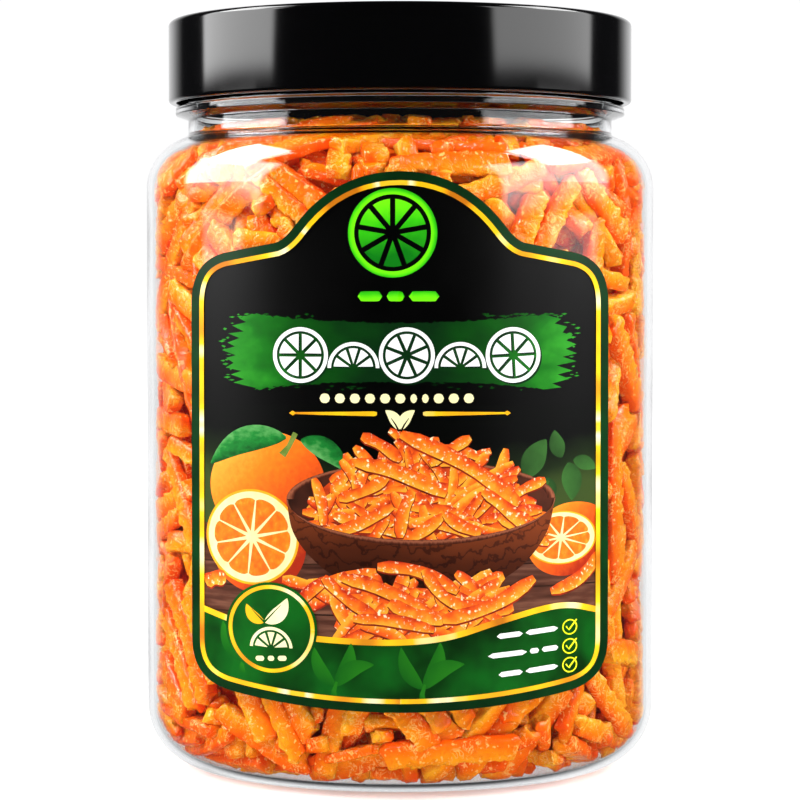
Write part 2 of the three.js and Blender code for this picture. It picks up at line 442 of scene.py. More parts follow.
def scattered(shapes):
    """The strips spread over the heap in layers, each lying along the wall where there's room."""
    placed = np.zeros_like(shapes)
    for layer in range(layer_count):
        rows = np.arange(layer, strip_count, layer_count)
        outline = heap_outline(wall_clearance + 2.0 + layer * layer_step)
        middle = (outline[1:] + outline[:-1]) / 2
        run = outline[1:] - outline[:-1]
        length = np.linalg.norm(run, axis=1)
        area = np.cumsum(length * middle[:, 0])
        taken = np.zeros((0, 3))
        for row in rows:
            segment = np.searchsorted(area / area[-1], rng.random(tries))
            around = rng.uniform(0, 2 * math.pi, tries)
            place_z = middle[segment, 1] + rng.uniform(-0.5, 0.5, tries) * run[segment, 1]
            slope = run[segment] / length[segment][:, None]
            level = np.stack([np.cos(around), np.sin(around), np.zeros(tries)], 1)
            climb = np.stack(
                [slope[:, 0] * np.sin(around), -slope[:, 0] * np.cos(around), slope[:, 1]], 1
            )
            # half of them lean one way and half the other, each on any of its four sides
            lean = rng.normal(0, 0.6, tries) + np.where(rng.random(tries) < 0.5, 0.75, 2.25)
            roll = rng.normal(0, 0.3, tries) + rng.integers(0, 4, tries) * math.pi / 2
            across = np.cross(level, climb)
            axis_x = level * np.cos(lean)[:, None] + climb * np.sin(lean)[:, None]
            side = climb * np.cos(lean)[:, None] - level * np.sin(lean)[:, None]
            axis_y = side * np.cos(roll)[:, None] + across * np.sin(roll)[:, None]
            turn = np.stack([axis_x, axis_y, np.cross(axis_x, axis_y)], 1)
            place_r = middle[segment, 0]
            centre = np.stack([place_r * np.sin(around), -place_r * np.cos(around), place_z], 1)
            grains = np.einsum("rmk,tkc->trmc", shapes[row], turn) + centre[:, None, None]
            spine = grains.mean(1)
            gap = np.linalg.norm(spine[:, :, None] - taken[None, None], axis=3)
            crowd = np.maximum(0, elbow_room - gap).sum((1, 2))
            best = np.argmin(crowd)
            placed[row] = grains[best]
            taken = np.concatenate([taken, spine[best]])
    return placed


def near_pairs(points, owner, reach):
    """Pairs of grains of different strips that are closer than reach, found through a grid."""
    cell = np.floor((points - points.min(0)) / reach).astype(np.int64) + 1
    size = cell.max(0) + 2
    key = (cell[:, 0] * size[1] + cell[:, 1]) * size[2] + cell[:, 2]
    order = np.argsort(key, kind="stable")
    ordered = key[order]
    first, second = [], []
    for dx, dy, dz in itertools.product((-1, 0, 1), repeat=3):
        step = (dx * size[1] + dy) * size[2] + dz
        if step < 0:
            continue
        start = np.searchsorted(ordered, key + step, "left")
        count = np.searchsorted(ordered, key + step, "right") - start
        a = np.repeat(np.arange(len(points)), count)
        shift = np.arange(count.sum()) - np.repeat(np.cumsum(count) - count, count)
        b = order[np.repeat(start, count) + shift]
        keep = owner[a] != owner[b]
        if step == 0:
            keep &= a < b
        first.append(a[keep])
        second.append(b[keep])
    first, second = np.concatenate(first), np.concatenate(second)
    near = np.linalg.norm(points[first] - points[second], axis=1) < reach
    return first[near], second[near]


settling_steps = 260
first_size = 0.35  # the strips start at this share of their thickness
grown_by = 0.6  # and have all of it after this share of the steps
outward_pull = 0.03  # at pull_radius, and falling off fast towards the middle
pull_radius = 50
sinking = 0.03  # a step, for grains lower than sinking_below
sinking_below = 22
refresh_every = 8  # steps between two searches for the grains that are near each other
haste = 1.5  # grains go this many times the mean push, so that crowds come apart sooner
stiffness = 0.5  # the share of the way back to its own shape that a strip goes in a step


def settled(shapes, placed, steps):
    """Lets the strips grow to full thickness while they push each other and the wall away."""
    grains = placed.reshape(-1, 3).copy()
    owner = np.repeat(np.arange(strip_count), 2 * row_grains)
    reach = np.repeat(strip_half, 2 * row_grains)
    rest = shapes.reshape(strip_count, -1, 3)
    for step in range(steps):
        growth = first_size + (1 - first_size) * min(1, step / (grown_by * steps))
        if step % refresh_every == 0:
            first, second = near_pairs(grains, owner, 2 * reach.max() * growth + 1.0)
        apart = grains[first] - grains[second]
        distance = np.linalg.norm(apart, axis=1) + 1e-9
        overlap = (reach[first] + reach[second]) * growth - distance
        hit = overlap > 0
        a, b = first[hit], second[hit]
        push = apart[hit] * (overlap[hit] / distance[hit] / 2)[:, None]
        hits = np.bincount(a, minlength=len(grains)) + np.bincount(b, minlength=len(grains))
        moved = np.stack(
            [
                np.bincount(a, push[:, k], len(grains)) - np.bincount(b, push[:, k], len(grains))
                for k in range(3)
            ],
            1,
        )
        grains += haste * moved / np.maximum(1, hits)[:, None]
        away = np.hypot(grains[:, 0], grains[:, 1])
        grains[:, :2] *= (1 + outward_pull * (away / pull_radius) ** 4 / pull_radius)[:, None]
        grains[:, 2] -= np.where(grains[:, 2] < sinking_below, sinking, 0)
        grains = confine(grains, reach * growth)
        bodies = grains.reshape(strip_count, -1, 3)
        middle = bodies.mean(1, keepdims=True)
        u, _, vt = np.linalg.svd(np.einsum("nik,nil->nkl", rest, bodies - middle))
        flip = np.sign(np.linalg.det(u @ vt))
        u[:, :, 2] *= flip[:, None]
        goal = np.einsum("nik,nkl->nil", rest, u @ vt) + middle
        grains = (bodies + stiffness * (goal - bodies)).reshape(-1, 3)
    return grains.reshape(shapes.shape)


def depth_inside(points):
    """How far inside the jar's inner wall, or under the heap's crown, places lie."""
    x, y, z = (points[..., k] for k in range(3))
    r = np.hypot(x, y)
    in_wall = body_radius - wall - r
    at_corner = base_corner - wall - np.hypot(
        np.maximum(r - body_radius + base_corner, 0), np.maximum(base_corner - z, 0)
    )
    at_shoulder = shoulder_radius - wall - np.hypot(
        np.maximum(r - body_radius + shoulder_radius, 0), np.maximum(z - wall_top, 0)
    )
    below = z - push_up - wall
    above = np.where(z > wall_top + 6, heap_crown - 1 - z, 99)
    return np.minimum.reduce([in_wall, at_corner, at_shoulder, below, above])


strips = strip_shapes()
strips = settled(strips, scattered(strips), settling_steps)

strip_bulk = 1.05
past_end = 0.9  # a strip goes on past its last grains by this share of its half thickness
squareness = 0.38  # of the strip's section: 1 is round, 0 is square
crinkle_waves = 16
pressed_gap = 0.25  # what bulges is pressed flat this far off the wall


def between(p0, p1, p2, p3, t):
    """Places at t from 0 to 1 on the smooth curve from p1 to p2, with p0 before and p3 after."""
    return 0.5 * (
        2 * p1 + (p2 - p0) * t + (2 * p0 - 5 * p1 + 4 * p2 - p3) * t**2
        + (3 * p1 - p0 - 3 * p2 + p3) * t**3
    )


def strip_spines(strips, half, rings):
    """Smooth middle lines and width directions, with many more places than the grains."""
    middle = strips.mean(1)
    width = strips[:, 1] - strips[:, 0]
    run = np.gradient(middle, axis=1)
    tips = run / np.linalg.norm(run, axis=2, keepdims=True)
    middle = np.concatenate(
        [
            middle[:, :1] - tips[:, :1] * half[:, None, None] * past_end,
            middle,
            middle[:, -1:] + tips[:, -1:] * half[:, None, None] * past_end,
        ],
        1,
    )
    width = np.concatenate([width[:, :1], width, width[:, -1:]], 1)
    count = middle.shape[1]
    place = np.linspace(0, count - 1.0001, rings)
    base = np.floor(place).astype(int)
    t = (place - base)[None, :, None]

    def curve(values):
        padded = np.concatenate(
            [2 * values[:, :1] - values[:, 1:2], values, 2 * values[:, -1:] - values[:, -2:-1]], 1
        )
        return between(*(padded[:, base + k] for k in range(4)), t)

    return curve(middle), curve(width)


def strip_skin(strips, half, length, rings, corners):
    """Vertices of every strip's skin, and where each lies: near the rind, on an edge, or deep."""
    number = len(strips)
    spine, width = strip_spines(strips, half, rings)
    run = np.gradient(spine, axis=1)
    run /= np.linalg.norm(run, axis=2, keepdims=True)
    width -= run * (width * run).sum(2, keepdims=True)
    width /= np.linalg.norm(width, axis=2, keepdims=True)
    thick = np.cross(run, width)
    around = (np.arange(corners) + 0.5) * 2 * math.pi / corners
    # a rounded rectangle: the cut faces are flatter than the rind and pith edges
    u = np.sign(np.cos(around)) * np.abs(np.cos(around)) ** squareness
    v = np.sign(np.sin(around)) * np.abs(np.sin(around)) ** squareness
    # full width nearly all the way, with blunt ends
    share = np.linspace(-1, 1, rings)
    tip = (1 - np.abs(share) ** 16) ** 0.5 * 0.7 + 0.3
    tip[0] = tip[-1] = 0.4
    half_thick = half[:, None] * strip_bulk * tip
    half_wide = half_thick + half_row * tip
    # crinkles: shallow waves along and round each strip, deepest on the soft pith
    pith_side = 0.5 - 0.5 * u
    crinkle = np.zeros((number, rings, corners))
    for _ in range(crinkle_waves):
        wavelength = rng.uniform(1.4, 6, number)
        along = (math.pi * length / wavelength)[:, None, None] * share[None, :, None]
        round_it = rng.integers(0, 6, number)[:, None, None]
        phase = rng.uniform(0, 2 * math.pi, (2, number))[:, :, None, None]
        height = (0.06 + 0.007 * wavelength)[:, None, None]
        crinkle += height * np.sin(along + phase[0]) * np.cos(round_it * around + phase[1])
    crinkle *= 0.35 + 0.75 * pith_side
    crinkle += rng.normal(0, 0.03, crinkle.shape) - 0.06
    # one end is up to a third slimmer, and both are cut at a slant
    taper = 1 - 0.35 * rng.random(number)[:, None, None] * (1 + share[None, :, None]) / 2
    skew = rng.uniform(-0.9, 0.9, number)[:, None, None] * u * np.abs(share[None, :, None]) ** 12
    offset_u = u * (half_wide[..., None] * taper + crinkle)
    offset_v = v * (half_thick[..., None] * taper * (0.85 + 0.3 * pith_side) + crinkle)
    points = (
        spine[:, :, None]
        + width[:, :, None] * offset_u[..., None]
        + thick[:, :, None] * offset_v[..., None]
        + run[:, :, None] * (skew * np.sign(share)[:, None] * half[:, None, None])[..., None]
    )
    # what still bulges through the wall is pressed flat against it
    points = confine(points, pressed_gap - wall_clearance)
    rind = np.broadcast_to(u * 0.5 + 0.5, crinkle.shape)
    arris = np.broadcast_to(np.abs(u * v) ** 3, crinkle.shape)  # 1 along the strip's four edges
    # The deep attribute carries a painted shade: the further into the heap, the darker and redder
    # the peel.
    deep = np.clip((depth_inside(points) - 3.2) / 3.5, 0, 1)  # it starts 3.2 mm in
    return points, {"rind": rind, "arris": arris, "deep": deep}


def joined_strips(name, points, places):
    """One mesh of many strips, with the places and a tone of each strip's own as attributes."""
    count, rings, ring = points.shape[:3]
    per_strip = rings * ring + 2
    ends = np.stack([points[:, 0].mean(1), points[:, -1].mean(1)], 1)
    vertices = np.concatenate([points.reshape(count, -1, 3), ends], 1).reshape(-1, 3) * mm
    i = np.arange(rings - 1)[:, None] * ring + np.arange(ring)[None, :]
    j = np.arange(rings - 1)[:, None] * ring + (np.arange(ring)[None, :] + 1) % ring
    quads = np.stack([i, j, j + ring, i + ring], -1).reshape(-1, 4)
    last = (rings - 1) * ring
    around, after = np.arange(ring), (np.arange(ring) + 1) % ring
    first_cap = np.stack([after, around, np.full(ring, rings * ring)], 1)
    last_cap = np.stack([last + around, last + after, np.full(ring, rings * ring + 1)], 1)
    triangles = np.concatenate([first_cap, last_cap])
    start = (np.arange(count) * per_strip)[:, None, None]
    all_quads = (quads[None] + start).reshape(-1, 4)
    all_triangles = (triangles[None] + start).reshape(-1, 3)
    mesh = bpy.data.meshes.new(name)
    mesh.vertices.add(len(vertices))
    mesh.vertices.foreach_set("co", vertices.astype(np.float32).ravel())
    corners = np.concatenate([all_quads.ravel(), all_triangles.ravel()]).astype(np.int32)
    mesh.loops.add(len(corners))
    mesh.loops.foreach_set("vertex_index", corners)
    mesh.polygons.add(len(all_quads) + len(all_triangles))
    starts = np.concatenate(
        [
            np.arange(len(all_quads)) * 4,
            len(all_quads) * 4 + np.arange(len(all_triangles)) * 3,
        ]
    )
    mesh.polygons.foreach_set("loop_start", starts.astype(np.int32))
    mesh.update(calc_edges=True)
    mesh.validate()
    mesh.shade_smooth()
    attributes = {"tone": np.repeat(rng.random(count), per_strip)}
    for attribute, values in places.items():
        ends = values[:, [0, -1]].mean(2)
        attributes[attribute] = np.concatenate([values.reshape(count, -1), ends], 1).ravel()
    for attribute, values in attributes.items():
        layer = mesh.attributes.new(attribute, "FLOAT", "POINT")
        layer.data.foreach_set("value", values.astype(np.float32))
    return linked(name, mesh)


def ramped(nodes, value, stops):
    """A colour ramp of (place, colour) stops over a value."""
    ramp = node(nodes, "ShaderNodeValToRGB", {"Fac": value})
    elements = ramp.color_ramp.elements
    for i, (place, colour) in enumerate(stops):
        stop = elements[i] if i < 2 else elements.new(place)
        stop.position, stop.color = place, colour
    return ramp.outputs["Color"]


candied, nodes, shader = new_material("candied_peel")
rind_edge = node(nodes, "ShaderNodeAttribute", attribute_name="rind")
own_tone = node(nodes, "ShaderNodeAttribute", attribute_name="tone")
place = node(nodes, "ShaderNodeTexCoord")
cloud = node(nodes, "ShaderNodeTexNoise", {
    "Scale": 260, "Detail": 3, "Vector": place.outputs["Object"],
})
grain = node(nodes, "ShaderNodeTexNoise", {
    "Scale": 520, "Detail": 2.5, "Roughness": 0.6, "Distortion": 0.8,
    "Vector": place.outputs["Object"],
})
ragged = node(nodes, "ShaderNodeMath", {
    0: cloud.outputs["Fac"], 1: 0.7, 2: rind_edge.outputs["Fac"],
}, operation="MULTIPLY_ADD")
share_rind = node(nodes, "ShaderNodeMath", {
    0: ragged.outputs["Value"], 1: 0.72,
}, operation="MULTIPLY")
layers = ramped(nodes, share_rind.outputs["Value"], [
    (0.22, (1.0, 0.45, 0.02, 1)), (0.46, (1.0, 0.34, 0.005, 1)), (0.7, (1.0, 0.225, 0.001, 1)),
    (1.0, (0.92, 0.115, 0.0006, 1)),
])
deeper = node(nodes, "ShaderNodeMix", {
    "Factor": own_tone.outputs["Fac"], "A": layers, "B": (0.93, 0.66, 0.3, 1),
}, data_type="RGBA", blend_type="MULTIPLY")
# Painted shade: where the grain that also bumps the glaze is low, in the crinkles' hollows, the
# colour turns darker and redder.
hollow_shade = node(nodes, "ShaderNodeMapRange", {
    "From Min": 0.34, "From Max": 0.52, "To Min": 0.6, "To Max": 1,
    "Value": grain.outputs["Fac"],
})
crinkle_shaded = node(nodes, "ShaderNodeMix", {
    "Factor": hollow_shade.outputs["Result"], "A": (0.85, 0.11, 0.0003, 1),
    "B": deeper.outputs["Result"],
}, data_type="RGBA")
# Painted shade: peel deep in the heap, and the core, is coloured darker and redder.
depth_shade_mask = node(nodes, "ShaderNodeAttribute", attribute_name="deep")
depth_shade = node(nodes, "ShaderNodeMix", {
    "Factor": depth_shade_mask.outputs["Fac"], "A": crinkle_shaded.outputs["Result"],
    "B": (0.93, 0.42, 0.2, 1),
}, data_type="RGBA", blend_type="MULTIPLY")

# Dried sugar glaze and painted highlights in one: pale threads in patches along the pith, and
# beads on the cut edges.
edge_of = node(nodes, "ShaderNodeAttribute", attribute_name="arris")
threads = node(nodes, "ShaderNodeMath", {0: grain.outputs["Fac"], 1: 0.5}, operation="SUBTRACT")
thread_gap = node(nodes, "ShaderNodeMath", {0: threads.outputs["Value"]}, operation="ABSOLUTE")
thread_line = node(nodes, "ShaderNodeMapRange", {
    "From Min": 0.012, "From Max": 0.03, "To Min": 1, "To Max": 0,
    "Value": thread_gap.outputs["Value"],
})
patches = node(nodes, "ShaderNodeTexNoise", {
    "Scale": 170, "Detail": 2, "Vector": place.outputs["Object"],
})
in_patch = node(nodes, "ShaderNodeMapRange", {
    "From Min": 0.47, "From Max": 0.58, "Value": patches.outputs["Fac"],
})
thread_glint_share = node(nodes, "ShaderNodeMath", {
    0: thread_line.outputs["Result"], 1: in_patch.outputs["Result"],
}, operation="MULTIPLY")
beads = node(nodes, "ShaderNodeTexNoise", {
    "Scale": 1100, "Detail": 1, "Vector": place.outputs["Object"],
})
bead_size = node(nodes, "ShaderNodeMath", {
    0: edge_of.outputs["Fac"], 1: 0.13, 2: beads.outputs["Fac"],
}, operation="MULTIPLY_ADD")
bead_glint_share = node(nodes, "ShaderNodeMapRange", {
    "From Min": 0.68, "From Max": 0.72, "Value": bead_size.outputs["Value"],
})
sugar_and_glint = node(nodes, "ShaderNodeMath", {
    0: thread_glint_share.outputs["Value"], 1: bead_glint_share.outputs["Result"],
}, operation="MAXIMUM")
sugar_and_glint_share = node(nodes, "ShaderNodeMath", {
    0: sugar_and_glint.outputs["Value"], 1: 0.6,
}, operation="MULTIPLY")
sugar_and_glint_colour = node(nodes, "ShaderNodeMix", {
    "Factor": sugar_and_glint_share.outputs["Value"], "A": depth_shade.outputs["Result"],
    "B": (1.0, 0.6, 0.17, 1),
}, data_type="RGBA")
plug(shader, {
    "Base Color": sugar_and_glint_colour.outputs["Result"], "Subsurface Weight": 0.35,
    "Subsurface Radius": (1.0, 0.35, 0.03), "Subsurface Scale": 1.0 * mm, "Roughness": 0.13,
    "Specular IOR Level": 0.42,
})
depth = node(nodes, "ShaderNodeMapRange", {
    "From Min": 0.1, "From Max": 0.9, "To Min": 0.75 * mm, "To Max": 0.3 * mm,
    "Value": rind_edge.outputs["Fac"],
})
glaze = node(nodes, "ShaderNodeBump", {
    "Strength": 1, "Distance": depth.outputs["Result"], "Height": grain.outputs["Fac"],
})
plug(shader, {"Normal": glaze.outputs["Normal"]})

# The strips by the wall are cut fine enough to show every crinkle; those behind them aren't.
fine_strips = 450
fine_rings, fine_corners = 44, 16
coarse_rings, coarse_corners = 14, 8
strip_depth = depth_inside(strips).mean((1, 2))
by_wall = strip_depth < np.sort(strip_depth)[fine_strips]
peel_pieces = bpy.data.collections.new("peel_pieces")
batches = [
    (chosen, fine_rings, fine_corners) for chosen in np.array_split(np.nonzero(by_wall)[0], 4)
]
batches.append((np.nonzero(~by_wall)[0], coarse_rings, coarse_corners))
for number, (chosen, rings, corners) in enumerate(batches):
    skin = strip_skin(strips[chosen], strip_half[chosen], strip_length[chosen], rings, corners)
    piece = joined_strips(f"peel_strips_{number + 1}", *skin)
    piece.data.materials.append(candied)
    peel_pieces.objects.link(piece)
    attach(piece, "root")

# The core: the same peel, packed and syrupy, that shows only through the gaps between strips.
core_inset = wall + heap_depth - 3.5
core_sides = 160
core_outline = [
    (0, core_inset + 1, 0),
    (body_radius - core_inset, core_inset + 1, 6),
    (body_radius - core_inset, heap_crown - core_inset - 1, 6),
    (0, heap_crown - core_inset, 0),
]


def core_lumps(angles, r, z):
    return 0.9 * np.sin(angles * 23 + z * 0.5) + 0.7 * np.cos(angles * 31 - z * 0.8)


core_corners = [core_outline[0], core_outline[1]]
core_corners += rows_between(core_outline[1][0], core_inset + 9, heap_crown - core_inset - 9, 2)
core = turned("peel_core", filleted(core_corners + core_outline[2:]), core_sides, core_lumps)
# A deep of 1 gives the core the painted shade of deep peel in full.
for attribute, value in (("deep", 1.0), ("rind", 0.4), ("tone", 0.5)):
    layer = core.data.attributes.new(attribute, "FLOAT", "POINT")
    layer.data.foreach_set("value", [value] * len(core.data.vertices))
core.data.materials.append(candied)
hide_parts("peel")
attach(core, "root")

# ---------------------------------------------------------------------------------------------
# The label: a glossy film printed in flat inks and wrapped round the front of the jar. Every
# printed shape is a layer of ink of its own, under a thousandth of a millimetre above whatever
# it covers. Shapes are drawn as seen from the front, in millimetres across and up.
label_inner = 56.3
film_front = 56.34
ink_step = 0.0008
label_half = 50.0  # half its width, measured round the jar
cell_angles = np.radians(np.arange(-54, 54.1, 2))
cell_edges = label_inner * np.sin(cell_angles)


def onto_jar(x, z, radius):
    """Front-view places put on the curve of the wall, which is flat from one cell to the next."""
    depth = np.interp(x, cell_edges, -np.cos(cell_angles)) * radius
    return np.stack([x * radius / label_inner, depth, z], -1)


def sliced(drawing):
    """Cuts a flat drawing at every cell edge, so that it can bend there."""
    for edge in cell_edges:
        whole = drawing.verts[:] + drawing.edges[:] + drawing.faces[:]
        bmesh.ops.bisect_plane(drawing, geom=whole, plane_co=(edge, 0, 0), plane_no=(1, 0, 0))


def quadratic(start, handle, end, steps=10):
    t = np.linspace(0, 1, steps + 1)[:, None]
    start, handle, end = (np.array(place, float) for place in (start, handle, end))
    return start * (1 - t) ** 2 + 2 * handle * t * (1 - t) + end * t**2


def evenly(points, spacing):
    """A line's points moved to even distances along it."""
    run = np.concatenate([[0], np.cumsum(np.linalg.norm(np.diff(points, axis=0), axis=1))])
    places = np.linspace(0, run[-1], max(2, round(run[-1] / spacing) + 1))
    return np.stack([np.interp(places, run, points[:, k]) for k in (0, 1)], 1)


def smooth_line(handles, spacing=0.6):
    """A smooth curve through a few places."""
    handles = np.array(handles, float)
    padded = np.concatenate(
        [2 * handles[:1] - handles[1:2], handles, 2 * handles[-1:] - handles[-2:-1]]
    )
    t = np.linspace(0, 1, 13)[:-1, None]
    parts = []
    for i in range(len(handles) - 1):
        parts.append(between(*padded[i : i + 4], t))
    return evenly(np.concatenate([*parts, handles[-1:]]), spacing)


def label_outline():
    """The label's edge, counter-clockwise from the middle of its foot."""
    half = np.concatenate(
        [
            quadratic((0, 18.4), (label_half / 3, 18.4), (label_half - 11, 21.6)),
            quadratic((label_half - 11, 21.6), (label_half, 23.6), (label_half, 31.6)),
            quadratic((label_half, 101.8), (label_half, 110.3), (label_half - 10, 112.4)),
            quadratic((26.4, 114.4), (24.4, 115), (22.4, 117.4)),
            quadratic((22.4, 117.4), (13.2, 128.8), (0, 128.8)),
        ]
    )
    half[:, 0] = label_inner * np.sin(half[:, 0] / label_inner)
    mirrored = half[::-1] * (-1, 1)
    return evenly(np.concatenate([half, mirrored]), 0.7)[:-1]


def moved_in(outline, distance):
    run = np.roll(outline, -1, 0) - np.roll(outline, 1, 0)
    run /= np.linalg.norm(run, axis=1, keepdims=True)
    return outline + distance * np.stack([-run[:, 1], run[:, 0]], 1)


label_edge = label_outline()
film = bmesh.new()
film.faces.new([film.verts.new((x, 0, z)) for x, z in label_edge])
sliced(film)
behind = bmesh.ops.extrude_face_region(film, geom=film.faces[:])
behind = [item for item in behind["geom"] if isinstance(item, bmesh.types.BMVert)]
for vertex in film.verts:
    x, _, z = vertex.co
    vertex.co = onto_jar(x, z, film_front) * mm
for vertex in behind:
    vertex.co.xy *= label_inner / film_front
bmesh.ops.recalc_face_normals(film, faces=film.faces[:])
film_mesh = bpy.data.meshes.new("label_film")
film.to_mesh(film_mesh)
film.free()
label_film = linked("label_film", film_mesh)

map_step = 0.3
map_x = np.arange(-46, 46, map_step)
map_z = np.arange(18, 131, map_step)
ink_level = np.zeros((len(map_z), len(map_x)), int)
drawing = bmesh.new()
along_layer, across_layer, tone_layer, lift_layer = (
    drawing.verts.layers.float.new(name) for name in ("along", "across", "tone", "lift")
)
ink_names = []


def next_level(outline):
    """The level of ink that clears everything printed so far under this outline."""
    x, z = outline.T
    wide = slice(*np.searchsorted(map_x, (x.min() - 2 * map_step, x.max() + 2 * map_step)))
    high = slice(*np.searchsorted(map_z, (z.min() - 2 * map_step, z.max() + 2 * map_step)))
    cell_x, cell_z = np.meshgrid(map_x[wide], map_z[high])
    inside = np.zeros(cell_x.shape, bool)
    for (x0, z0), (x1, z1) in zip(outline, np.roll(outline, -1, 0)):
        if z0 != z1:
            beyond = cell_x < (x1 - x0) * (cell_z - z0) / (z1 - z0) + x0
            inside ^= ((z0 > cell_z) != (z1 > cell_z)) & beyond
    trace = evenly(np.concatenate([outline, outline[:1]]), map_step)
    column = np.clip(np.round((trace[:, 0] - cell_x[0, 0]) / map_step).astype(int), 0, None)
    row = np.clip(np.round((trace[:, 1] - cell_z[0, 0]) / map_step).astype(int), 0, None)
    inside[np.minimum(row, inside.shape[0] - 1), np.minimum(column, inside.shape[1] - 1)] = True
    grown = inside.copy()
    grown[1:] |= inside[:-1]
    grown[:-1] |= inside[1:]
    grown[:, 1:] |= inside[:, :-1]
    grown[:, :-1] |= inside[:, 1:]
    region = ink_level[high, wide]
    level = region[grown].max(initial=0) + 1
    region[grown] = level
    return level


def lay(ink, points, faces, along, across, tone, outline):
    """Prints one shape in one ink."""
    if ink not in ink_names:
        ink_names.append(ink)
    lift = next_level(outline) * ink_step
    corners = []
    for (x, z), u, v in zip(points, along, across):
        corner = drawing.verts.new((x, 0, z))
        corner[along_layer], corner[across_layer] = float(u), float(v)
        corner[tone_layer], corner[lift_layer] = float(tone), lift
        corners.append(corner)
    for face in faces:
        x, z = np.asarray(points)[list(face)].T
        turn = np.sum(x * np.roll(z, -1) - np.roll(x, -1) * z)
        if abs(turn) < 1e-7:
            continue
        order = face if turn > 0 else face[::-1]
        drawing.faces.new([corners[i] for i in order]).material_index = ink_names.index(ink)


def field(ink, outline, centre=(0, 0), size=1.0, tone=0.5):
    """A filled outline. Along and across are its own places from its centre, in its size."""
    outline = np.asarray(outline, float)
    faces = tessellate_polygon([[Vector((x, z, 0)) for x, z in outline]])
    u, v = ((outline - centre) / size).T
    lay(ink, outline, [tuple(face) for face in faces], u, v, tone, outline)


def band(ink, left, right, tone=0.5, along=None):
    """A ribbon between two lines: across goes from 0 on the left to 1 on the right."""
    left, right = np.asarray(left, float), np.asarray(right, float)
    middle = (left + right) / 2
    run = np.concatenate([[0], np.cumsum(np.linalg.norm(np.diff(middle, axis=0), axis=1))])
    run = run if along is None else along
    count = len(left)
    faces = [(i, i + 1, count + i + 1, count + i) for i in range(count - 1)]
    across = np.repeat([0, 1], count)
    edge = np.concatenate([left, right[::-1]])
    lay(ink, np.concatenate([left, right]), faces, np.tile(run, 2), across, tone, edge)


def stroke(ink, line, half_width, tone=0.5, along=None):
    """A ribbon of its own width, or widths, along a line."""
    line = np.asarray(line, float)
    run = np.gradient(line, axis=0)
    run /= np.linalg.norm(run, axis=1, keepdims=True)
    aside = np.stack([-run[:, 1], run[:, 0]], 1) * np.reshape(half_width, (-1, 1))
    band(ink, line + aside, line - aside, tone, along)


def round_line(centre, radius, start=0.0, end=360.0, squash=1.0, steps=None):
    steps = steps or max(6, round(abs(end - start) / 4.5))
    angle = np.radians(np.linspace(start, end, steps + 1))
    return np.stack(
        [centre[0] + radius * np.cos(angle), centre[1] + radius * squash * np.sin(angle)], 1
    )


def disc(ink, centre, radius, squash=1.0, tone=0.5):
    field(ink, round_line(centre, radius, squash=squash)[:-1], centre, radius, tone)


def leaf(ink, base, tip, width, bend=0.0, tone=0.5):
    """A leaf with its stalk end at base: across is 0.5 on its midrib."""
    base, tip = np.array(base, float), np.array(tip, float)
    t = np.linspace(0.01, 0.99, 15)
    aside = np.array([-(tip - base)[1], (tip - base)[0]])
    line = base + t[:, None] * (tip - base) + (bend * np.sin(math.pi * t))[:, None] * aside
    stroke(ink, line, width / 2 * np.sin(math.pi * t**0.85) ** 0.8, tone, t)


def citrus_wheel(ink, centre, radius, start=0, end=360, segments=8):
    """A slice of fruit as a plain sign: its rind as a ring, and its segments."""
    rim = round_line(centre, radius, start, end)
    band(ink, rim, centre + (rim - centre) * 0.86)
    share = (end - start) / segments
    for i in range(segments):
        first, last = start + i * share, start + (i + 1) * share
        middle = math.radians((first + last) / 2)
        tip = np.array(centre) + radius * 0.17 * np.array([math.cos(middle), math.sin(middle)])
        gap = 4.5
        edge = round_line(centre, radius * 0.76, first + gap, last - gap, steps=6)
        field(ink, np.concatenate([[tip], edge]), centre, radius)


# The ground: black out to the border, which is printed last.
green_border, gold_border = 1.8, 0.98
green_inside = moved_in(label_edge, green_border)
gold_inside = moved_in(label_edge, green_border + gold_border)
closed = np.arange(len(label_edge) + 1) % len(label_edge)
field("black_ink", moved_in(label_edge, 0.4), (0, 90), 45)

# The picture: leaves in the dark, a plank table, fruit, and a wooden bowl of cut peel.
art = np.random.default_rng(5)
picture_half = 41.6


def picture_box(low, high):
    return [(-picture_half, low), (picture_half, low), (picture_half, high), (-picture_half, high)]


field("dusk_ink", picture_box(54, 81), (0, 66), 12)
for x, z, turn, length in (
    (35, 69, -85, 8), (36, 69.5, -22, 5.5), (26, 66, 62, 9), (33.5, 70, 105, 6), (30, 66, -70, 5),
    (27, 63, 30, 4.5),
):
    angle = math.radians(turn)
    tip = (x + length * math.cos(angle), z + length * math.sin(angle))
    leaf("dim_leaf_ink", (x, z), tip, length * 0.55, 0.05, art.random())
field("table_ink", picture_box(31, 56.2), (0, 44), 12)
for z in (52.5, 48.3, 43.5, 38):
    stroke("table_seam_ink", [(-picture_half, z), (0, z + 0.3), (picture_half, z)], 0.16)

whole_orange, half_orange, far_half = (-27.4, 64.4), (-30.6, 53.7), (33.4, 53.4)
disc("fruit_skin_ink", whole_orange, 12.2, 0.93)
leaf("leaf_ink", (-23.2, 74.4), (-39.6, 68.4), 5.4, -0.14)
leaf("leaf_ink", (-20.4, 74.0), (-10.8, 67.6), 4.4, 0.12, 0.9)
stroke("stalk_ink", [(-24.2, 70.8), (-22.8, 72.6), (-21.4, 75.4)], [0.8, 0.5, 0.55])


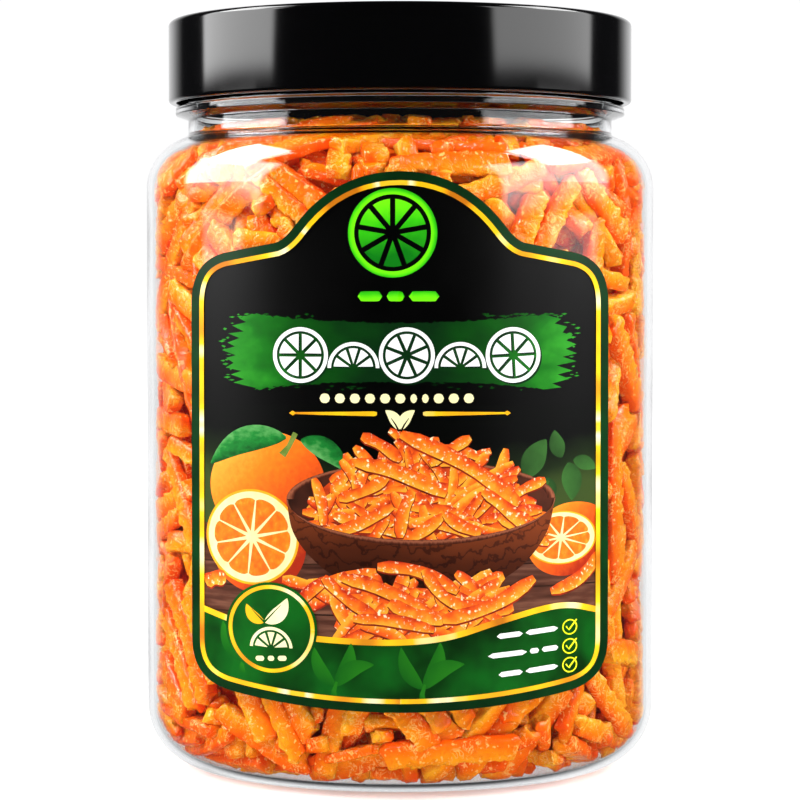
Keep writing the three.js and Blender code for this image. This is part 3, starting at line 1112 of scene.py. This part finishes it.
def cut_orange(centre, radius, squash, lean, segments=10):
    """Half a fruit standing on its side: skin, pith, ten segments and the white core."""
    skin = (centre[0] + 0.13 * radius * lean, centre[1] - 0.16 * radius)
    disc("fruit_skin_ink", skin, radius * 1.02, (squash + 1) / 2, 1.0)
    disc("zest_ink", centre, radius, squash)
    disc("pith_ink", centre, radius * 0.95, squash)
    for i in range(segments):
        first = 360 / segments * i + 12
        last = first + 360 / segments
        edge = round_line((0, 0), radius * 0.82, first + 0.9, last - 0.9, steps=8)
        bulge = 1 - 0.06 * np.abs(np.linspace(-1, 1, len(edge))) ** 4
        middle = math.radians(first + 180 / segments)
        tip = radius * 0.12 * np.array([[math.cos(middle), math.sin(middle)]])
        wedge = np.concatenate([tip, edge * bulge[:, None]]) * (1, squash) + centre
        field("flesh_ink", wedge, centre, radius, art.random())
    star = round_line((0, 0), radius * 0.17, steps=20)[:-1]
    star[::2] *= 0.55
    field("pith_ink", star * (1, squash) + centre, centre, radius)


disc("fruit_skin_ink", (36.5, 57.2), 6.4, 0.55, 0.7)
cut_orange(far_half, 7.7, 0.72, 0.6)
cut_orange(half_orange, 9.9, 1.0, 1.0)


def printed_strip(start, end, width, bend=0.0, tone=0.5, rind_below=True):
    """One cut of peel: rind along one edge, pith along the other."""
    start, end = np.array(start, float), np.array(end, float)
    if rind_below == (start[0] < end[0]):
        start, end, bend = end, start, -bend
    t = np.linspace(0, 1, 9)
    aside = np.array([-(end - start)[1], (end - start)[0]])
    line = start + t[:, None] * (end - start) + (bend * np.sin(math.pi * t))[:, None] * aside
    half = width / 2 * (1 + 0.10 * np.sin(t * 9 + tone * 30)) * (1 - 0.45 * np.abs(2 * t - 1) ** 8)
    stroke("shade_ink", line - (0, 0.28), half * 1.08, 0.2, t)
    stroke("peel_ink", line, half, tone, t)


def strip_heap(count, place, widths, lengths, spread):
    """Many cuts at random: place(i) gives a middle, and those laid last are lowest."""
    for i in range(count):
        middle = np.array(place(i / count))
        angle = art.normal(0, spread) + (0.5 if art.random() < 0.5 else -0.45)
        reach = art.uniform(*lengths) / 2 * np.array([math.cos(angle), math.sin(angle)])
        bend = art.uniform(-0.1, 0.1)
        tone = art.random()
        width = art.uniform(*widths)
        printed_strip(middle - reach, middle + reach, width, bend, tone, art.random() < 0.6)


bowl_middle, bowl_across, rim_squash = (4.4, 61.8), 27.7, 0.29
disc("bowl_inside_ink", bowl_middle, bowl_across, rim_squash)
back_rim = round_line(bowl_middle, bowl_across, 0, 180, rim_squash)
band("rim_ink", back_rim, round_line(bowl_middle, bowl_across - 1.7, 0, 180, rim_squash * 0.96))
disc("peel_shadow_ink", (4.6, 59.6), 22.5, 0.48)


def in_heap(share):
    """Places in the bowl's heap, from its top down to the front of the rim."""
    height = 72.2 - 17.5 * share**0.8 + art.uniform(-1.2, 1.2)
    reach = 21.5 * math.sqrt(max(0.0, 1 - ((height - 56) / 18.5) ** 2)) * (0.9 + 0.1 * share)
    return 4.6 + art.uniform(-1, 1) * reach, height


strip_heap(115, in_heap, (1.7, 2.3), (7.5, 13), 0.45)
for start, end, width, bend, tone in (
    ((-17.6, 66.2), (-15.6, 56.6), 2.2, 0.06, 0.3), ((-12.5, 62.2), (-2.5, 66.6), 2.3, -0.06, 0.4),
    ((21.5, 61.5), (30.0, 65.6), 2.1, 0.04, 0.4), ((6.0, 69.2), (14.4, 74.6), 2.2, 0.02, 0.2),
    ((-9.0, 69.6), (9.4, 63.0), 2.9, 0.05, 0.15), ((0.1, 75.4), (24.6, 60.8), 3.0, 0.05, 0.45),
    ((-14.6, 54.9), (-1.6, 60.6), 2.4, -0.04, 0.3), ((17.0, 63.6), (27.0, 54.9), 2.6, 0.03, 0.35),
    ((-1.0, 52.9), (8.8, 58.8), 2.4, -0.05, 0.15), ((-7.8, 75.0), (0.2, 70.0), 2.3, 0.06, 0.6),
    ((0.0, 54.2), (2.5, 63.8), 2.5, 0.07, 0.7), ((9.0, 59.2), (16.6, 55.2), 2.4, -0.08, 0.5),
):
    printed_strip(start, end, width, bend, tone)

front_rim = round_line(bowl_middle, bowl_across, 180, 360, rim_squash)
right_side = smooth_line([(32.1, 61.8), (30.2, 54.5), (25.2, 48.2), (18.6, 44.4), (11, 43.2)], 1)
left_side = smooth_line(
    [(-3.5, 43.2), (-10.8, 44.9), (-17.2, 49.0), (-21.8, 54.8), (-23.3, 61.8)], 1
)
bowl_body = np.concatenate([front_rim[1:-1], right_side, left_side])
field("bowl_ink", bowl_body, (4.4, 52), 28)
rim_foot = round_line((4.4, 61.5), bowl_across - 0.5, 180, 360, rim_squash * 1.13)
band("rim_ink", front_rim, rim_foot)


def on_table(share):
    height = 44.2 - 9.6 * share + art.uniform(-0.8, 0.8)
    middle = 1.5 + 2.0 * share
    half_spread = 12 + 9.5 * math.sin(math.pi * min(1, share + 0.2))
    return middle + art.uniform(-1, 1) * half_spread, height


strip_heap(70, on_table, (2.1, 2.8), (8, 15), 0.3)
for start, end, width, bend, tone in (
    ((-11.8, 45.9), (6.4, 38.6), 2.6, 0.05, 0.35), ((-4.6, 48.3), (11.8, 43.0), 2.5, 0.1, 0.6),
    ((4.9, 47.8), (19.6, 40.0), 2.5, -0.2, 0.4), ((-15.6, 46.0), (-4.6, 38.0), 2.4, -0.05, 0.8),
    ((-2.2, 41.0), (10.0, 37.5), 2.7, -0.07, 0.2), ((8.6, 37.4), (27.6, 45.4), 2.8, -0.07, 0.4),
    ((-9.5, 37.6), (7.0, 35.3), 2.4, 0.05, 0.55),
    ((31.2, 42.4), (42.2, 50.2), 2.6, -0.12, 0.5), ((-40.8, 43.6), (-36.2, 44.8), 3.0, 0.1, 0.4),
):
    printed_strip(start, end, width, bend, tone)

# The foot of the label: a green panel under a gold wave, with leaves, a seal and three ticks.
wave = smooth_line(
    [(-picture_half, 38.2), (-34, 36.0), (-25, 34.0), (-12, 33.0), (0, 32.8), (10, 33.8),
     (20, 36.6), (29.5, 38.9), (35.5, 39.2), (picture_half, 37.7)]
)
inside_edge = moved_in(label_edge, 2.8)
foot = np.roll(inside_edge, len(inside_edge) // 2, 0)
foot = foot[foot[:, 1] < 36.8]
field("green_ink", np.concatenate([wave[::-1] - (0, 0.3), foot]), (0, 0), 1)
stroke("gold_ink", wave, 0.62)

for base, grow in (((4.6, 20.8), 1.0), ((-13.4, 21.2), 0.95), ((-32.6, 25.4), 0.95)):
    for tip, width, bend in (
        ((-4.4, 11.0), 3.0, 0.12), ((3.6, 12.0), 3.4, -0.1), ((8.6, 7.4), 3.6, 0.16),
    ):
        stem = np.array(base) + (0.2, 2.4)
        leaf("sprig_ink", stem, np.array(base) + np.array(tip) * grow, width * grow, bend)
    line = [base, np.array(base) + (-0.1, 1.4), np.array(base) + (0.5, 3.4)]
    stroke("sprig_ink", line, [0.7, 0.5, 0.25])

seal = (-26.5, 34.9)
disc("green_ink", seal, 9.6)
band("gold_ink", round_line(seal, 9.05), round_line(seal, 8.25))
for tip, width, bend, tone in (
    ((-31.7, 39.8), 2.3, 0.16, 0.62), ((-23.1, 41.4), 3.0, -0.14, 0.9),
):
    root = np.array((-27.9, 36.2))
    leaf("gold_ink", root, tip, width, bend, tone)
    stroke("green_ink", [root, root + (np.array(tip) - root) * 0.72], [0.2, 0.05])
citrus_wheel("cream_ink", (-26.5, 30.8), 4.5, 4, 176, 5)


def lozenges(ink, start, end, half_height, lengths, gap):
    """A row of plain rounded bars where a line of words would be."""
    start, end = np.array(start, float), np.array(end, float)
    run = (end - start) / np.linalg.norm(end - start)
    at = 0.0
    for length in lengths:
        t = np.linspace(0, 1, 9)
        line = start + run * (at + t[:, None] * length)
        ends = np.clip(np.minimum(t, 1 - t) * length / half_height, 0, 1)
        stroke(ink, line, half_height * np.sqrt(1 - (1 - ends) ** 2) + 0.02)
        at += length + gap


lozenges("cream_ink", (-29.8, 28.6), (-23.2, 29.0), 0.5, (1.9, 1.4, 1.9), 0.7)
for row, (left, height) in enumerate(((19.8, 34.4), (18.0, 30.4), (20.2, 26.5))):
    lengths = ((5.4, 6.9), (8.1, 1.9, 3.5), (5.0, 6.9))[row]
    lozenges("white_ink", (left, height - 0.8), (33.1, height + 0.3), 0.5, lengths, 0.62)
    tick_at = (35.2, height + 0.3)
    band("tick_ink", round_line(tick_at, 1.62), round_line(tick_at, 1.34))
    tick = np.array([(-0.8, 0.2), (-0.2, -0.6), (1.5, 1.5)]) + tick_at
    stroke("tick_ink", tick, [0.18, 0.2, 0.16])

# The head of the label: a green slice of fruit, a brushed band with white slices, and dividers.
citrus_wheel("bright_green_ink", (-1.5, 116.3), 9.1, 90, 450, 9)
lozenges("bright_green_ink", (-8.6, 103.4), (8.6, 103.4), 1.0, (5.0, 3.6, 6.2), 0.9)


def brushed_band():
    """The outline of a broad brush stroke: nearly straight edges and frayed ends."""
    top = [
        (x, 98.0 + 1.1 * abs(x / 30) ** 2 * 1.6 + art.normal(0, 0.14))
        for x in np.arange(32, -31, -0.5)
    ]
    foot = [
        (x, 85.9 - 1.9 * abs(x / 31) ** 3 + art.normal(0, 0.12))
        for x in np.arange(-30, 30.5, 0.5)
    ]

    def frayed(side, low, high):
        ends = []
        rows = np.linspace(low, high, 18)
        for i, z in enumerate(rows):
            bulge = 5.2 * (1 - ((z - 92) / 8) ** 2)
            out = art.uniform(0.4, 1.9) if i % 2 == 0 else -art.uniform(0.6, 2.6)
            ends.append((side * (31.6 + max(0, bulge) * 0.75 + out), z + art.normal(0, 0.1)))
        return ends

    return np.array(top + frayed(-1, 99.0, 84.6) + foot + frayed(1, 84.6, 99.6))


band_edge = brushed_band()
field("brush_ink", band_edge, (0, 92), 36)
for i in range(130):
    side = 1 if art.random() < 0.5 else -1
    x, z = side * art.uniform(17, 34.8), 99.8 - art.random() ** 2 * 2.0
    if i % 3 == 0:
        x, z = side * art.uniform(34.4, 37), art.uniform(86, 98)
    if i % 5 == 0:
        x, z = side * art.uniform(5, 30), 84.9 + art.normal(0, 0.25)
    long, high = art.uniform(0.25, 0.9), art.uniform(0.1, 0.26)
    fleck = [(x - long, z), (x, z - high), (x + long * 0.8, z + high * 0.3), (x, z + high)]
    field("brush_ink", fleck, (0, 92), 36)


def title_slices(ink, shift):
    """Five slices in a row, whole and half by turns."""
    for i in range(5):
        centre = np.array([-20.4 + 10.9 * i, 91.4]) + shift
        if i % 2 == 0:
            citrus_wheel(ink, centre, 5.7, 12 * i, 12 * i + 360, 8)
        else:
            citrus_wheel(ink, centre - (0, 2.6), 5.3, 0, 180, 5)


title_slices("dark_green_ink", (0.35, -0.4))
title_slices("white_ink", (0, 0))
subtitle = (2.1,) * 6 + (1.4,) * 2 + (2.1,) * 3
lozenges("cream_ink", (-16.4, 82.6), (16.4, 82.6), 0.95, subtitle, 0.98)
for side in (-1, 1):
    line = [(side * (4.7 + 17.2 * t), 79.5) for t in np.linspace(0, 1, 30)]
    stroke("gold_ink", line, np.linspace(0.5, 0.2, 30) * np.clip(np.arange(30) + 0.6, 0, 1), side)
    x = side * 22.0
    field("gold_ink", [(x - 0.75, 79.5), (x, 79.0), (x + 0.75, 79.5), (x, 80.0)], (0, 0), 1)
for side in (-1, 1):
    leaf("cream_ink", (side * 0.3, 76.2), (side * 3.0, 80.2), 2.3, side * 0.13)
    vein = [(side * 0.2, 75.9), (side * 0.9, 77.3), (side * 1.8, 78.6)]
    stroke("black_ink", vein, [0.22, 0.16, 0.06])

# The border: a green edge and a gold line inside it.
band("dark_green_ink", label_edge[closed], green_inside[closed])
band("gold_ink", green_inside[closed], gold_inside[closed])

sliced(drawing)
for vertex in drawing.verts:
    x, _, z = vertex.co
    vertex.co = onto_jar(x, z, film_front + vertex[lift_layer]) * mm
print_mesh = bpy.data.meshes.new("label_print")
drawing.to_mesh(print_mesh)
drawing.free()
print_mesh.shade_smooth()
label_print = linked("label_print", print_mesh)

# The inks' uneven cover: a cloudy mask that each ink stretches and scales its own way.
print_mottle = bpy.data.node_groups.new("print_mottle", "ShaderNodeTree")
for name, kind in (("Scale", "NodeSocketFloat"), ("Stretch", "NodeSocketVector")):
    print_mottle.interface.new_socket(name, in_out="INPUT", socket_type=kind)
print_mottle.interface.new_socket("Mask", in_out="OUTPUT", socket_type="NodeSocketFloat")
nodes = print_mottle.nodes
given = node(nodes, "NodeGroupInput")
place = node(nodes, "ShaderNodeTexCoord")
stretched = node(nodes, "ShaderNodeVectorMath", {
    0: place.outputs["Object"], 1: given.outputs["Stretch"],
}, operation="MULTIPLY")
cloud = node(nodes, "ShaderNodeTexNoise", {
    "Detail": 3, "Vector": stretched.outputs["Vector"], "Scale": given.outputs["Scale"],
})
node(nodes, "NodeGroupOutput", {"Mask": cloud.outputs["Fac"]})


def linear(colour):
    """A colour of 0 to 255 a channel as the shader takes it."""
    share = [channel / 255 for channel in colour]
    return (*(s / 12.92 if s <= 0.04045 else ((s + 0.055) / 1.055) ** 2.4 for s in share), 1)


def printed(nodes, value, stops):
    """A colour ramp whose stops give their colours as 0 to 255 a channel."""
    return ramped(nodes, value, [(place, linear(colour)) for place, colour in stops])


def summed(nodes, start, *parts):
    """start plus each value times its factor."""
    total = start
    for value, factor in parts:
        inputs = {0: value, 1: factor, 2: total}
        total = node(nodes, "ShaderNodeMath", inputs, operation="MULTIPLY_ADD").outputs["Value"]
    return total


ink_materials = {}


def printing_ink(name, scale=120, stretch=(1, 1, 1)):
    """A new ink's nodes and main shader, then what colours it: mottle, along, across, tone."""
    ink_materials[name], nodes, shader = new_material(name)
    plug(shader, {"Roughness": 0.3, "Specular IOR Level": 0.25})
    inputs = {"Scale": scale, "Stretch": stretch}
    mottle = node(nodes, "ShaderNodeGroup", inputs, node_tree=print_mottle)
    places = [
        node(nodes, "ShaderNodeAttribute", attribute_name=kind).outputs["Fac"]
        for kind in ("along", "across", "tone")
    ]
    return nodes, shader, mottle.outputs["Mask"], *places


def steady_ink(name, low, high, scale=120):
    """A flat ink with a slight mottle."""
    nodes, shader, mottle, *_ = printing_ink(name, scale)
    plug(shader, {"Base Color": printed(nodes, mottle, [(0.35, low), (0.65, high)])})


def sloped_ink(name, weights, stops, scale=120, stretch=(1, 1, 1)):
    """An ink that changes by weight with its mottle, its along, its across and its tone."""
    nodes, shader, *places = printing_ink(name, scale, stretch)
    parts = [(value, weight) for value, weight in zip(places, weights) if weight]
    plug(shader, {"Base Color": printed(nodes, summed(nodes, 0, *parts), stops)})


for ink in (
    ("black_ink", (0, 0, 0), (3, 3, 3), 60),
    ("green_ink", (0, 42, 2), (0, 92, 14), 75),
    ("dark_green_ink", (0, 38, 8), (0, 52, 14)),
    ("white_ink", (250, 250, 250), (255, 255, 255)),
    ("cream_ink", (250, 240, 175), (255, 248, 190)),
    ("tick_ink", (225, 235, 0), (245, 245, 30)),
    ("stalk_ink", (90, 120, 40), (140, 150, 70), 400),
    ("table_seam_ink", (30, 14, 8), (55, 30, 18)),
    ("zest_ink", (250, 150, 0), (252, 172, 8), 300),
    ("pith_ink", (248, 212, 140), (250, 224, 164), 300),
    ("shade_ink", (96, 18, 0), (160, 38, 0), 300),
    ("peel_shadow_ink", (150, 30, 0), (225, 75, 0), 260),
    ("bowl_inside_ink", (38, 14, 6), (80, 36, 20)),
    ("film_white", (205, 208, 205), (225, 226, 222)),
):
    steady_ink(*ink)
for ink in (
    ("bright_green_ink", (0.5, 0, 0.5, 0),
     [(0.0, (0, 120, 10)), (0.35, (50, 200, 0)), (0.6, (110, 240, 0))]),
    ("sprig_ink", (0.5, 0.3, 0.3, 0), [(0.2, (0, 84, 10)), (0.8, (26, 116, 10))]),
    ("leaf_ink", (0.7, -0.1, 0.45, 0.1),
     [(0.3, (4, 74, 22)), (0.6, (16, 120, 40)), (0.95, (96, 165, 90))], 500, (1, 1, 2)),
    ("dim_leaf_ink", (0.5, 0.2, 0.2, 0.2), [(0.2, (14, 38, 12)), (0.9, (58, 112, 44))], 200),
    ("table_ink", (1.1, 0, -0.12, 0),
     [(0.2, (40, 18, 10)), (0.55, (84, 46, 32)), (0.9, (130, 84, 64))], 90, (1, 1, 9)),
    ("rim_ink", (0.5, 0, 0.7, 0),
     [(0.2, (84, 38, 20)), (0.45, (150, 84, 56)), (0.75, (84, 34, 16)), (1, (40, 12, 4))],
     420, (6, 1, 1)),
):
    sloped_ink(*ink)

# Gold, and the inks of the picture that take more than one slope.
nodes, shader, mottle, along, across, tone = printing_ink("gold_ink")
bands = node(nodes, "ShaderNodeTexNoise", {
    "Scale": 0.075, "Detail": 1.5, "W": summed(nodes, 0, (along, 1), (tone, 23)),
}, noise_dimensions="1D")
gold_stops = [
    (0.30, (190, 108, 0)), (0.42, (238, 160, 0)), (0.54, (246, 196, 0)), (0.66, (255, 242, 190)),
    (0.72, (240, 190, 30)),
]
plug(shader, {"Base Color": printed(nodes, bands.outputs["Fac"], gold_stops)})

nodes, shader, mottle, along, across, tone = printing_ink("dusk_ink", 70)
height = summed(nodes, 0.62, (across, -0.9), (mottle, 0.8))
sides = node(nodes, "ShaderNodeMath", {0: along}, operation="ABSOLUTE")
dusk = summed(nodes, -0.55, (height, 0.8), (sides.outputs["Value"], 0.11))
dusk_stops = [(0.05, (2, 3, 2)), (0.4, (22, 36, 12)), (0.75, (52, 70, 26))]
plug(shader, {"Base Color": printed(nodes, dusk, dusk_stops)})

nodes, shader, mottle, along, across, tone = printing_ink("brush_ink", 110, (1, 1, 1.6))
sides = node(nodes, "ShaderNodeMath", {0: along}, operation="ABSOLUTE")
stroke_tone = summed(nodes, -0.32, (sides.outputs["Value"], 0.85), (mottle, 0.6))
brush_stops = [(0.1, (0, 44, 8)), (0.45, (0, 72, 4)), (0.68, (8, 104, 10)), (0.9, (40, 148, 28))]
plug(shader, {"Base Color": printed(nodes, stroke_tone, brush_stops)})

nodes, shader, mottle, along, across, tone = printing_ink("fruit_skin_ink", 900)
skin_tone = summed(nodes, 0.42, (along, 0.3), (across, -0.32), (mottle, 0.25), (tone, 0.12))
skin_stops = [
    (0.2, (246, 156, 44)), (0.45, (242, 120, 4)), (0.7, (226, 84, 0)), (1.0, (160, 34, 0)),
]
plug(shader, {"Base Color": printed(nodes, skin_tone, skin_stops)})

nodes, shader, mottle, along, across, tone = printing_ink("flesh_ink", 750)
distance = node(nodes, "ShaderNodeCombineXYZ", {"X": along, "Y": across})
length = node(nodes, "ShaderNodeVectorMath", {0: distance.outputs["Vector"]}, operation="LENGTH")
flesh_tone = summed(nodes, -0.05, (mottle, 0.9), (length.outputs["Value"], 0.1), (tone, 0.1))
flesh_stops = [(0.35, (240, 92, 0)), (0.6, (246, 118, 2)), (0.85, (250, 158, 40))]
plug(shader, {"Base Color": printed(nodes, flesh_tone, flesh_stops)})

nodes, shader, mottle, along, across, tone = printing_ink("bowl_ink", 60)
place = node(nodes, "ShaderNodeTexCoord")
carving = node(nodes, "ShaderNodeTexWave", {
    "Scale": 160, "Distortion": 9, "Detail": 3, "Detail Scale": 2.2,
    "Vector": place.outputs["Object"],
}, wave_type="RINGS")
line_stops = [(0.04, (150, 130, 115)), (0.18, (255, 255, 255))]
lines = printed(nodes, carving.outputs["Fac"], line_stops)
wood_tone = summed(nodes, 0.42, (across, 1.3), (mottle, 0.3), (along, 0.12))
wood = printed(nodes, wood_tone, [(0.1, (30, 8, 1)), (0.5, (72, 26, 4)), (0.85, (120, 52, 16))])
carved = node(nodes, "ShaderNodeMix", {
    "Factor": 0.8, "A": wood, "B": lines,
}, data_type="RGBA", blend_type="MULTIPLY")
plug(shader, {"Base Color": carved.outputs["Result"]})

nodes, shader, mottle, along, across, tone = printing_ink("peel_ink", 520)
peel_tone = summed(nodes, -0.06, (across, -0.62), (mottle, 0.85), (tone, -0.28))
flipped = summed(nodes, 0.62, (peel_tone, 1))
peel_stops = [
    (0.1, (190, 40, 0)), (0.36, (232, 84, 0)), (0.58, (242, 118, 4)), (0.86, (246, 160, 36)),
]
flat_peel = printed(nodes, flipped, peel_stops)
place = node(nodes, "ShaderNodeTexCoord")
speck = node(nodes, "ShaderNodeTexNoise", {"Scale": 1300, "Vector": place.outputs["Object"]})
shine = node(nodes, "ShaderNodeMapRange", {
    "From Min": 0.6, "From Max": 0.72, "Value": speck.outputs["Fac"],
})
glint = node(nodes, "ShaderNodeMix", {
    "Factor": shine.outputs["Result"], "A": flat_peel, "B": linear((255, 236, 190)),
}, data_type="RGBA")
plug(shader, {"Base Color": glint.outputs["Result"]})

for name in ink_names:
    print_mesh.materials.append(ink_materials[name])
label_film.data.materials.append(ink_materials["film_white"])
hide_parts("label")
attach(label_film, "root")
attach(label_print, "root")

# ---------------------------------------------------------------------------------------------
# The studio: a white table and background. A wide softbox with a dim strip under its foot
# stands at each side of the jar, a soft panel hangs over each of them, and a small lamp in
# front of the jar lights only the peel.
floor_mesh = bpy.data.meshes.new("floor")
far = 3
floor_corners = [(-far, -far, 0), (far, -far, 0), (far, far, 0), (-far, far, 0)]
floor_mesh.from_pydata(floor_corners, [], [(0, 1, 2, 3)])
floor = linked("floor", floor_mesh)
white_table, nodes, shader = new_material("white_table")
plug(shader, {
    "Base Color": (0.85, 0.85, 0.85, 1), "Roughness": 0.6, "Emission Color": (1, 1, 1, 1),
})
place = node(nodes, "ShaderNodeTexCoord")
away = node(nodes, "ShaderNodeVectorMath", {0: place.outputs["Object"]}, operation="LENGTH")
sweep = node(nodes, "ShaderNodeMapRange", {
    "From Min": 0.05, "From Max": 0.9, "To Min": 0.3, "To Max": 0.97,
    "Value": away.outputs["Value"],
}, interpolation_type="SMOOTHSTEP")
plug(shader, {"Emission Strength": sweep.outputs["Result"]})
floor.visible_glossy = False
floor.visible_transmission = False
floor.data.materials.append(white_table)


def soft_light(name, place, aim, size, power):
    """A softbox: brightest over its middle and fading to its edges."""
    data = bpy.data.lights.new(name, "AREA")
    data.shape = "RECTANGLE"
    data.size, data.size_y = size
    data.energy = power
    data.use_nodes = True
    nodes = data.node_tree.nodes
    across = node(nodes, "ShaderNodeNewGeometry")
    from_middle = node(nodes, "ShaderNodeVectorMath", {
        0: across.outputs["Parametric"], 1: (0.5, 0.5, 0),
    }, operation="SUBTRACT")
    twice = dict.fromkeys((0, 1), from_middle.outputs["Vector"])
    squared = node(nodes, "ShaderNodeVectorMath", twice, operation="MULTIPLY")
    axes = node(nodes, "ShaderNodeSeparateXYZ", {0: squared.outputs["Vector"]})
    edges = [
        node(nodes, "ShaderNodeMapRange", {
            "From Min": 0.25, "From Max": 0.18, "To Max": 1.2, "Value": axes.outputs[axis],
        }, interpolation_type="SMOOTHSTEP").outputs["Result"]
        for axis in ("X", "Y")
    ]
    fade = node(nodes, "ShaderNodeMath", dict(enumerate(edges)), operation="MULTIPLY")
    plug(nodes["Emission"], {"Strength": fade.outputs["Value"]})
    light = linked(name, data)
    light.location = place
    light.rotation_euler = (Vector(aim) - Vector(place)).to_track_quat("-Z", "Y").to_euler()
    return light


def facing(degrees, distance, height):
    """A place at so many degrees left of the front, seen from the jar."""
    turn = math.radians(degrees)
    return (-distance * math.sin(turn), -distance * math.cos(turn), height)


soft_light("left_softbox", facing(86, 0.75, 0.4), (0, 0, 0.14), (0.76, 0.47), 4.9)
soft_light("left_softbox_foot", facing(84, 0.75, 0.135), (0, 0, 0.13), (0.34, 0.07), 0.07)
soft_light("right_softbox", facing(-75, 0.75, 0.4), (0, 0, 0.14), (1.0, 0.47), 4.1)
soft_light("right_softbox_foot", facing(-82, 0.75, 0.135), (0, 0, 0.13), (0.4, 0.07), 0.07)
soft_light("left_top_panel", facing(92, 0.6, 0.68), (0, 0, 0.12), (0.42, 0.4), 5.4)
soft_light("right_top_panel", facing(-90, 0.6, 0.68), (0, 0, 0.12), (0.42, 0.4), 5.4)

# A small lamp in front and above, shaded off the jar, that only makes the sugar glaze sparkle.
glaze_lamp = soft_light("glaze_lamp", facing(12, 0.5, 0.62), (0, 0, 0.08), (0.12, 0.09), 3.0)
glaze_lamp.light_linking.receiver_collection = peel_pieces

world = bpy.data.worlds.new("studio")
world.use_nodes = True
bpy.context.scene.world = world
nodes = world.node_tree.nodes
ray = node(nodes, "ShaderNodeLightPath")
straight = node(nodes, "ShaderNodeMath", {
    0: ray.outputs["Is Camera Ray"], 1: ray.outputs["Is Transmission Ray"],
}, operation="MAXIMUM")
white = node(nodes, "ShaderNodeMix", {
    "A": (0.2, 0.2, 0.2, 1), "B": (1.02, 1.02, 1.02, 1), "Factor": straight.outputs["Value"],
}, data_type="RGBA")
mirrored = node(nodes, "ShaderNodeMath", {
    0: ray.outputs["Glossy Depth"], 1: 0.5,
}, operation="GREATER_THAN")
direction = node(nodes, "ShaderNodeTexCoord")
axes = node(nodes, "ShaderNodeSeparateXYZ", {"Vector": direction.outputs["Generated"]})
behind_jar = node(nodes, "ShaderNodeMapRange", {
    "From Min": 0.7, "From Max": 0.92, "Value": axes.outputs["Y"],
}, interpolation_type="SMOOTHSTEP")
dark_room = node(nodes, "ShaderNodeMix", {
    "A": (0.03, 0.03, 0.032, 1), "B": (1.05, 1.05, 1.06, 1),
    "Factor": behind_jar.outputs["Result"],
}, data_type="RGBA")
room = node(nodes, "ShaderNodeMix", {
    "Factor": mirrored.outputs["Value"], "A": white.outputs["Result"],
    "B": dark_room.outputs["Result"],
}, data_type="RGBA")
plug(nodes["Background"], {"Strength": 1, "Color": room.outputs["Result"]})
bpy.context.scene.view_settings.view_transform = "Standard"
